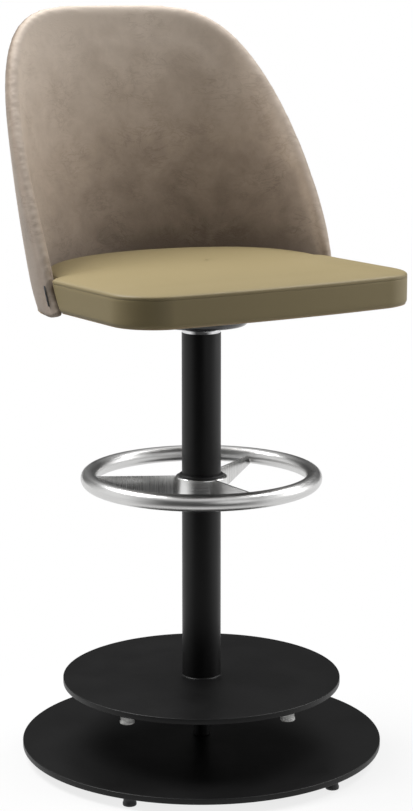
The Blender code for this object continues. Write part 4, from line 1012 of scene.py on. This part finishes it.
class STOOL_OT_back(Operator):
    """Upholsters the wrap-round back in velvet over its padding"""

    bl_idname = "stool.back"
    bl_label = "Velvet back"

    def execute(self, context):
        back = context.scene.stool_back
        shell = Shell(back)
        thing = self.form(shell, back)
        remesh = thing.modifiers.new("voxels", "REMESH")
        remesh.mode = "VOXEL"
        remesh.voxel_size = back.voxel
        remesh.use_smooth_shade = True
        smooth = thing.modifiers.new("smooth", "SMOOTH")
        smooth.factor = 0.5
        smooth.iterations = 2
        apply_all(thing)
        self.hold(thing, shell)
        simulate_padding(thing, back.pressure, back.swell, "held")
        ease = thing.modifiers.new("ease", "SMOOTH")
        ease.factor = 0.5
        ease.iterations = 6
        ease.vertex_group = "held"
        ease.invert_vertex_group = True
        fine = thing.modifiers.new("fine", "SUBSURF")
        fine.levels = 1
        fine.render_levels = 1
        apply_all(thing)
        thing = settle("back_upholstery", math.radians(80))
        # Paints light and shade into the velvet's tone.
        self.brush(thing, shell)
        cloth = velvet(back.velvet, back.velvet_dark, back.velvet_light)
        dress(thing, "seat", cloth, "back_velvet", "back_cover")
        self.tag(shell, back)
        return {"FINISHED"}

    def tag(self, shell, back):
        """A plain folded ribbon that stands out of the left wing near its foot."""
        ends = []
        for height in (shell.foot + back.tag_foot, shell.foot + back.tag_foot + back.tag_length):
            out = (shell.normal(-1.0, height) + Vector((0, -0.7, 0))).normalized()
            ends.append(shell.point(-1.0, height) + out * (back.thickness / 2 + MM))
        along = ends[1] - ends[0]
        side = along.cross(out).normalized()
        across = side.cross(along).normalized()
        deselect()
        bpy.ops.mesh.primitive_cube_add(size=1)
        turn = Matrix((side, across, along.normalized())).transposed().to_4x4()
        spread = Matrix.Diagonal((back.tag_thickness, back.tag_width, along.length, 1))
        bpy.context.object.matrix_world = Matrix.Translation((ends[0] + ends[1]) / 2) @ turn @ spread
        thing = settle("wing_tag")
        bevel = thing.modifiers.new("fold", "BEVEL")
        bevel.width = 0.2 * MM
        bevel.segments = 3
        apply_all(thing)
        dress(thing, "seat", ribbon(back.tag_colour), "back_velvet")

    def hold(self, thing, shell):
        """Holds the rolled rim and the foot, so that the padding swells between them only."""
        back = shell.back
        rim = shell.rim_tree()
        group = thing.vertex_groups.new(name="held")
        for vertex in thing.data.vertices:
            beyond = min(rim.find(vertex.co)[2] - back.thickness / 2, vertex.co.z - shell.foot)
            group.add([vertex.index], 1 - clamp((beyond - back.held_width) / back.held_fade), "REPLACE")

    def brush(self, thing, shell):
        """Stores painted light and shade for the velvet's tone: dark low down inside, light at the top and
        rim.
        """
        back = shell.back
        rim = shell.rim_tree()
        low = top_of("seat_top_panel")
        painted_rim_sheen = 0.86
        values = []
        for vertex in thing.data.vertices:
            height, rearward = vertex.co.z, vertex.normal.y
            share = clamp((height - low) / (shell.arch_top - low))
            across = Vector((vertex.co.x, vertex.co.y)).normalized()
            outwards = vertex.normal.x * across.x + rearward * across.y
            # The rim: painted light, as sheen, over a width that grows upwards, less at the left, low inside
            # and by the feet.
            front = clamp(0.8 - 1.6 * outwards)
            below = clamp((low + 20 * MM - height) / (60 * MM))
            beyond = max(0.0, rim.find(vertex.co)[2] - back.thickness / 2)
            near = clamp(1 - beyond / (back.painted_sheen_rim * (0.3 + share))) ** 2 * front
            near *= 0.8 + 0.2 * across.x
            near *= 1 - below * (1 - clamp(0.4 + 1.5 * outwards))
            near *= 1 - 0.8 * (1 - share) * clamp(-outwards)
            # The outer face: painted lighter where it looks to the front or straight to the rear, darker where
            # it looks rearwards at a slant, and lighter low down: painted light and shade by facing and
            # height.
            turned = clamp(max(0.6 - 1.3 * rearward, rearward - 0.1), 0.15, 1.3)
            outer = (back.outer_painted_light - 0.4 * share) * turned
            # The inner face: painted shade low down growing evenly to painted light at the top, and a little
            # more painted light at the left.
            inside = clamp(0.5 - 1.5 * outwards)
            inner = share ** 0.92 + 0.19 * max(0.0, -across.x)
            pile = inside * inner + (1 - inside) * outer
            values.append(pile + max(0.0, painted_rim_sheen - pile) * near)
        raised = thing.data.attributes.new("raised", "FLOAT", "POINT")
        raised.data.foreach_set("value", values)

    def form(self, shell, back):
        """Outer face, inner face, a half round swept along the rim and a softly rounded foot."""
        deselect()
        bpy.ops.mesh.primitive_plane_add()
        thing = bpy.context.object
        work = bmesh.new()
        side, rows, half, rim_steps = back.grid_columns // 2, back.grid_rows, back.thickness / 2, 10
        turns = [index / side for index in range(-side, side + 1)]

        def heights(turn):
            high = shell.rim(math.sin(turn * math.pi / 2))
            low = shell.foot - back.wing_drop * turn ** 6
            return [low + (high - low) * row / rows for row in range(rows + 1)]

        def face(reach):
            return [
                [work.verts.new(shell.point(turn, height) + shell.normal(turn, height) * reach)
                 for height in heights(turn)]
                for turn in turns
            ]

        def join(columns):
            for left, right in zip(columns, columns[1:]):
                for low in range(len(left) - 1):
                    work.faces.new((left[low], left[low + 1], right[low + 1], right[low]))

        outer, inner = face(half), face(-half)
        join(outer)
        join([column[::-1] for column in inner])
        edge = [(-1.0, height) for height in heights(-1.0)[:-1]]
        edge += [(turn, heights(turn)[-1]) for turn in turns]
        edge += [(1.0, height) for height in heights(1.0)[-2::-1]]
        outer_edge = outer[0][:-1] + [column[-1] for column in outer] + outer[-1][-2::-1]
        inner_edge = inner[0][:-1] + [column[-1] for column in inner] + inner[-1][-2::-1]
        points = [shell.point(*place) for place in edge]
        strips = []
        for index, (turn, height) in enumerate(edge):
            along = points[min(index + 1, len(points) - 1)] - points[max(index - 1, 0)]
            normal = shell.normal(turn, height)
            beyond = along.cross(normal).normalized()
            strip = [outer_edge[index]]
            for step in range(1, rim_steps):
                angle = math.pi * step / rim_steps
                reach = (normal * math.cos(angle) + beyond * math.sin(angle)) * half
                strip.append(work.verts.new(points[index] + reach))
            strips.append(strip + [inner_edge[index]])
        join(strips)
        open_edges = [link for link in work.edges if link.is_boundary]
        bmesh.ops.holes_fill(work, edges=open_edges)
        bmesh.ops.remove_doubles(work, verts=work.verts, dist=MERGE)
        bmesh.ops.recalc_face_normals(work, faces=work.faces)
        work.to_mesh(thing.data)
        work.free()
        return thing


class STOOL_OT_seat(Operator):
    """Upholsters the cushion: leather band, seam and crowned top"""

    bl_idname = "stool.seat"
    bl_label = "Leather seat"

    def execute(self, context):
        seat, back = context.scene.stool_seat, context.scene.stool_back
        self.seat, self.shell, self.foot = seat, Shell(back), foot_of("seat_side_band")
        self.edge = self.foot + seat.band
        # How far the leather is drawn in where the seam's groove starts.
        self.lip = 0.12 * MM
        hide = leather(seat.leather)
        band = self.band()
        dress(band, "seat", hide, "seat_leather", "seat_side_band")
        dress(self.board(), "seat", plywood(), "plywood", "seat_board")
        top = self.top()
        dress(top, "seat", hide, "seat_leather", "seat_top_panel", "seat_foam")
        return {"FINISHED"}

    def outline(self, height, inset):
        """The cushion's outline at one height, from the middle of the front anticlockwise to the rear."""
        seat = self.seat
        middle_x = seat.half_width - seat.corner
        middle_y = seat.corner - seat.front
        side = seat.half_width - inset
        front_steps, corner_steps, side_steps, step_steps, wall_steps = 24, 24, 17, 6, 60

        def quarter(steps):
            return [math.pi / 2 * index / steps for index in range(steps + 1)]

        half = []
        for index in range(front_steps):
            across = middle_x * index / front_steps
            half.append((across, inset - seat.front - seat.front_bow * (1 - (across / middle_x) ** 2)))
        radius = seat.corner - inset
        for turn in quarter(corner_steps):
            half.append((middle_x + radius * math.sin(turn), middle_y - radius * math.cos(turn)))
        wing = self.wall(1.0, height, inset)
        gap = seat.step_gap * (0.4 + 1.5 * max(0.0, 1 - (height - self.foot) / seat.band))
        step_y = self.shell.point(1.0, height).y - self.shell.back.thickness / 2 - gap - inset
        for index in range(1, side_steps):
            half.append((side, middle_y + (step_y - seat.step_round - middle_y) * index / side_steps))
        radius = seat.step_round - inset
        for turn in quarter(step_steps):
            half.append((side - radius * (1 - math.cos(turn)), step_y - radius * (1 - math.sin(turn))))
        radius = seat.step_round + inset
        for turn in quarter(step_steps):
            half.append((wing[0] + radius * (1 - math.sin(turn)), step_y + radius * (1 - math.cos(turn))))
        half += [self.wall(1 - index / wall_steps, height, inset) for index in range(wall_steps + 1)]
        return half + [(-x, y) for x, y in half[-2:0:-1]]

    def wall(self, turn, height, inset):
        """A plan point of the cushion where it faces the back."""
        return self.shell.inner_wall(turn, height, self.seat.back_clearance, inset)

    def ring(self, height, inset, level=None):
        """One ring of the cushion: small insets follow the outline, larger ones shrink it to its middle."""
        followed = min(inset, self.seat.step_round / 2)
        middle_y = (self.wall(0.0, height, 0)[1] - self.seat.front) / 2
        shrink = 1 - (inset - followed) / self.seat.half_width
        lift = height if level is None else level
        return [
            Vector((x * shrink, middle_y + (y - middle_y) * shrink, lift))
            for x, y in self.outline(height, followed)
        ]

    def skin(self, name, rings):
        """Skins closed rings, first to last, with a wrapped grid."""
        columns, rows = len(rings[0]), len(rings) - 1

        def place(across, up):
            return rings[round(up * rows)][round(across * columns) % columns]

        return wrapped_grid(name, columns, rows, place)

    def band(self):
        """Side band: turned under at the foot, flat up the side and rolled into the seam."""
        seat = self.seat
        seam = self.edge - seat.seam_drop
        roll = seat.seam_width / 2
        foot_round, steps = seat.foot_round, 8
        section = [(seat.turn_under + foot_round, self.foot)]
        for index in range(steps + 1):
            turn = math.pi / 2 * index / steps
            section.append((foot_round * (1 - math.sin(turn)), self.foot + foot_round * (1 - math.cos(turn))))
        flat = seam - roll - 0.5 * MM - self.foot - foot_round
        section += [(0.0, self.foot + foot_round + flat * index / steps) for index in range(1, steps + 1)]
        section += [
            (self.lip, seam - roll), (0.45 * seat.seam_depth, seam - 0.4 * roll), (seat.seam_depth, seam),
            (seat.seam_depth + MM, seam),
        ]
        thing = self.skin("seat_band_leather", [self.ring(height, inset) for inset, height in section])
        wall = thing.modifiers.new("hide", "SOLIDIFY")
        wall.thickness = 1.2 * MM
        wall.offset = -1
        apply_all(thing)
        return thing

    def board(self):
        """Plywood board inside the band, with the cushion's outline."""
        low, high = foot_of("seat_board"), top_of("seat_board")
        shrink = [self.seat.half_width * share for share in (NEARLY, 0.5)]
        inset = 2.0 * MM
        rings = [self.ring(low, reach) for reach in shrink]
        rings += [self.ring(low, inset), self.ring(high, inset)]
        rings += [self.ring(high, reach) for reach in shrink[::-1]]
        return self.skin("seat_board_plywood", rings)

    def top(self):
        """Top panel: out of the seam, round the edge and over the crown, closed underneath as a pad."""
        seat = self.seat
        seam = self.edge - seat.seam_drop
        roll = seat.seam_width / 2
        under = seam + 0.2 * MM
        section = [(seat.half_width * share, under) for share in (1.0, 0.7, 0.4, 0.2, 0.08)]
        section += [(4 * MM, under), (seat.seam_depth + MM, under), (seat.seam_depth, seam + 0.3 * MM),
                    (0.45 * seat.seam_depth, seam + 0.4 * roll), (self.lip, seam + roll)]
        section += [(0.0, seam + roll + MM)]
        top_round, rolled, steps = seat.top_round, math.radians(74), 6
        for index in range(steps + 1):
            turn = rolled * index / steps
            section.append((top_round * (1 - math.cos(turn)), self.edge - top_round * (1 - math.sin(turn))))
        whole = seat.half_width * NEARLY
        rings = [self.ring(min(height, self.edge), min(inset, whole), height) for inset, height in section]
        first, level = section[-1]
        rows = 44
        for index in range(1, rows + 1):
            share = (index / rows) ** 1.6
            ring = self.ring(self.edge, first + (whole - first) * share, level)
            for point in ring:
                point.z += seat.crown * self.crown_share(share, point.y)
            rings.append(ring)
        thing = self.skin("seat_top_leather", rings)
        group = thing.vertex_groups.new(name="held")
        walls = [Vector(point) for point in self.outline(self.edge, 0)]
        for vertex in thing.data.vertices:
            spot = Vector((vertex.co.x, vertex.co.y))
            reach = min((spot - wall).length for wall in walls)
            low = vertex.co.z < self.edge - 0.2 * MM
            group.add([vertex.index], 1.0 if low else 1 - clamp(reach / seat.held_fade), "REPLACE")
        simulate_padding(thing, seat.pressure, seat.swell, "held")
        fine = thing.modifiers.new("fine", "SUBSURF")
        fine.levels = 1
        fine.render_levels = 1
        apply_all(thing)
        bpy.ops.object.shade_smooth_by_angle(angle=math.radians(60))
        return thing

    def crown_share(self, share, along):
        """Rise of the padding: soft by the front and sides, steep at the rear, where it meets the back."""
        soft = (1 - (1 - share) ** 3.2) ** 0.75
        steep = (1 - (1 - share) ** 12) ** 0.5
        rear = clamp((along + 20 * MM) / (160 * MM))
        return soft + (steep - soft) * rear * rear * (3 - 2 * rear)


class STOOL_OT_hidden(Operator):
    """Finishes the pieces that stay as the frame made them"""

    bl_idname = "stool.hidden"
    bl_label = "Inner pieces"

    def execute(self, context):
        metal = context.scene.stool_metal
        zinc = brushed_steel("zinc_plate", metal.zinc, (300, 300, 300), roughness=(0.3, 0.42))
        finishes = {
            "powder_coat": bpy.data.materials["satin_powder_coat"],
            "zinc_steel": zinc,
            "brushed_stainless": bpy.data.materials["hub_steel"],
            "bright_chrome": bpy.data.materials["polished_chrome"],
            "gloss_cover": bpy.data.materials["bowl_gloss"],
            "black_nylon": bpy.data.materials["bush_nylon"],
            "white_nylon": bpy.data.materials["glide_nylon"],
            "plywood": bpy.data.materials["birch_plywood"],
            "foam": cut_foam(),
            "felt": felt(),
            "seat_leather": bpy.data.materials["olive_leather"],
            "back_velvet": bpy.data.materials["taupe_velvet"],
        }
        for part in frame["record"]["subparts"]:
            node = frame["nodes"][part["node"]]
            node.data.materials.clear()
            node.data.materials.append(finishes[part["material_slot"]])
        return {"FINISHED"}


OPERATORS = (
    STOOL_OT_stage,
    STOOL_OT_plates,
    STOOL_OT_pads,
    STOOL_OT_column,
    STOOL_OT_foot_ring,
    STOOL_OT_back,
    STOOL_OT_seat,
    STOOL_OT_hidden,
)
SETTINGS = {
    "stool_stage": StoolStage,
    "stool_metal": StoolMetal,
    "stool_seat": StoolSeat,
    "stool_back": StoolBack,
}


class STOOL_PT_panel(Panel):
    """Buttons and sizes of the bar stool"""

    bl_idname = "STOOL_PT_panel"
    bl_label = "Bar Stool"
    bl_space_type = "VIEW_3D"
    bl_region_type = "UI"
    bl_category = "Bar Stool"

    def draw(self, context):
        for operator in OPERATORS:
            self.layout.operator(operator.bl_idname)
        for name, group in SETTINGS.items():
            box = self.layout.box()
            box.label(text=group.__doc__)
            for value in group.__annotations__:
                box.prop(getattr(context.scene, name), value)


def register():
    for group in SETTINGS.values():
        bpy.utils.register_class(group)
    for name, group in SETTINGS.items():
        setattr(bpy.types.Scene, name, PointerProperty(type=group))
    for operator in OPERATORS:
        bpy.utils.register_class(operator)
    bpy.utils.register_class(STOOL_PT_panel)


def unregister():
    bpy.utils.unregister_class(STOOL_PT_panel)
    for operator in reversed(OPERATORS):
        bpy.utils.unregister_class(operator)
    for name, group in SETTINGS.items():
        delattr(bpy.types.Scene, name)
        bpy.utils.unregister_class(group)


def main():
    register()
    deselect()
    bpy.ops.stool.stage()
    bpy.ops.stool.plates()
    bpy.ops.stool.pads()
    bpy.ops.stool.column()
    bpy.ops.stool.foot_ring()
    bpy.ops.stool.back()
    bpy.ops.stool.seat()
    bpy.ops.stool.hidden()
    deselect()
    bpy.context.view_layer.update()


if __name__ == "__main__":
    main()
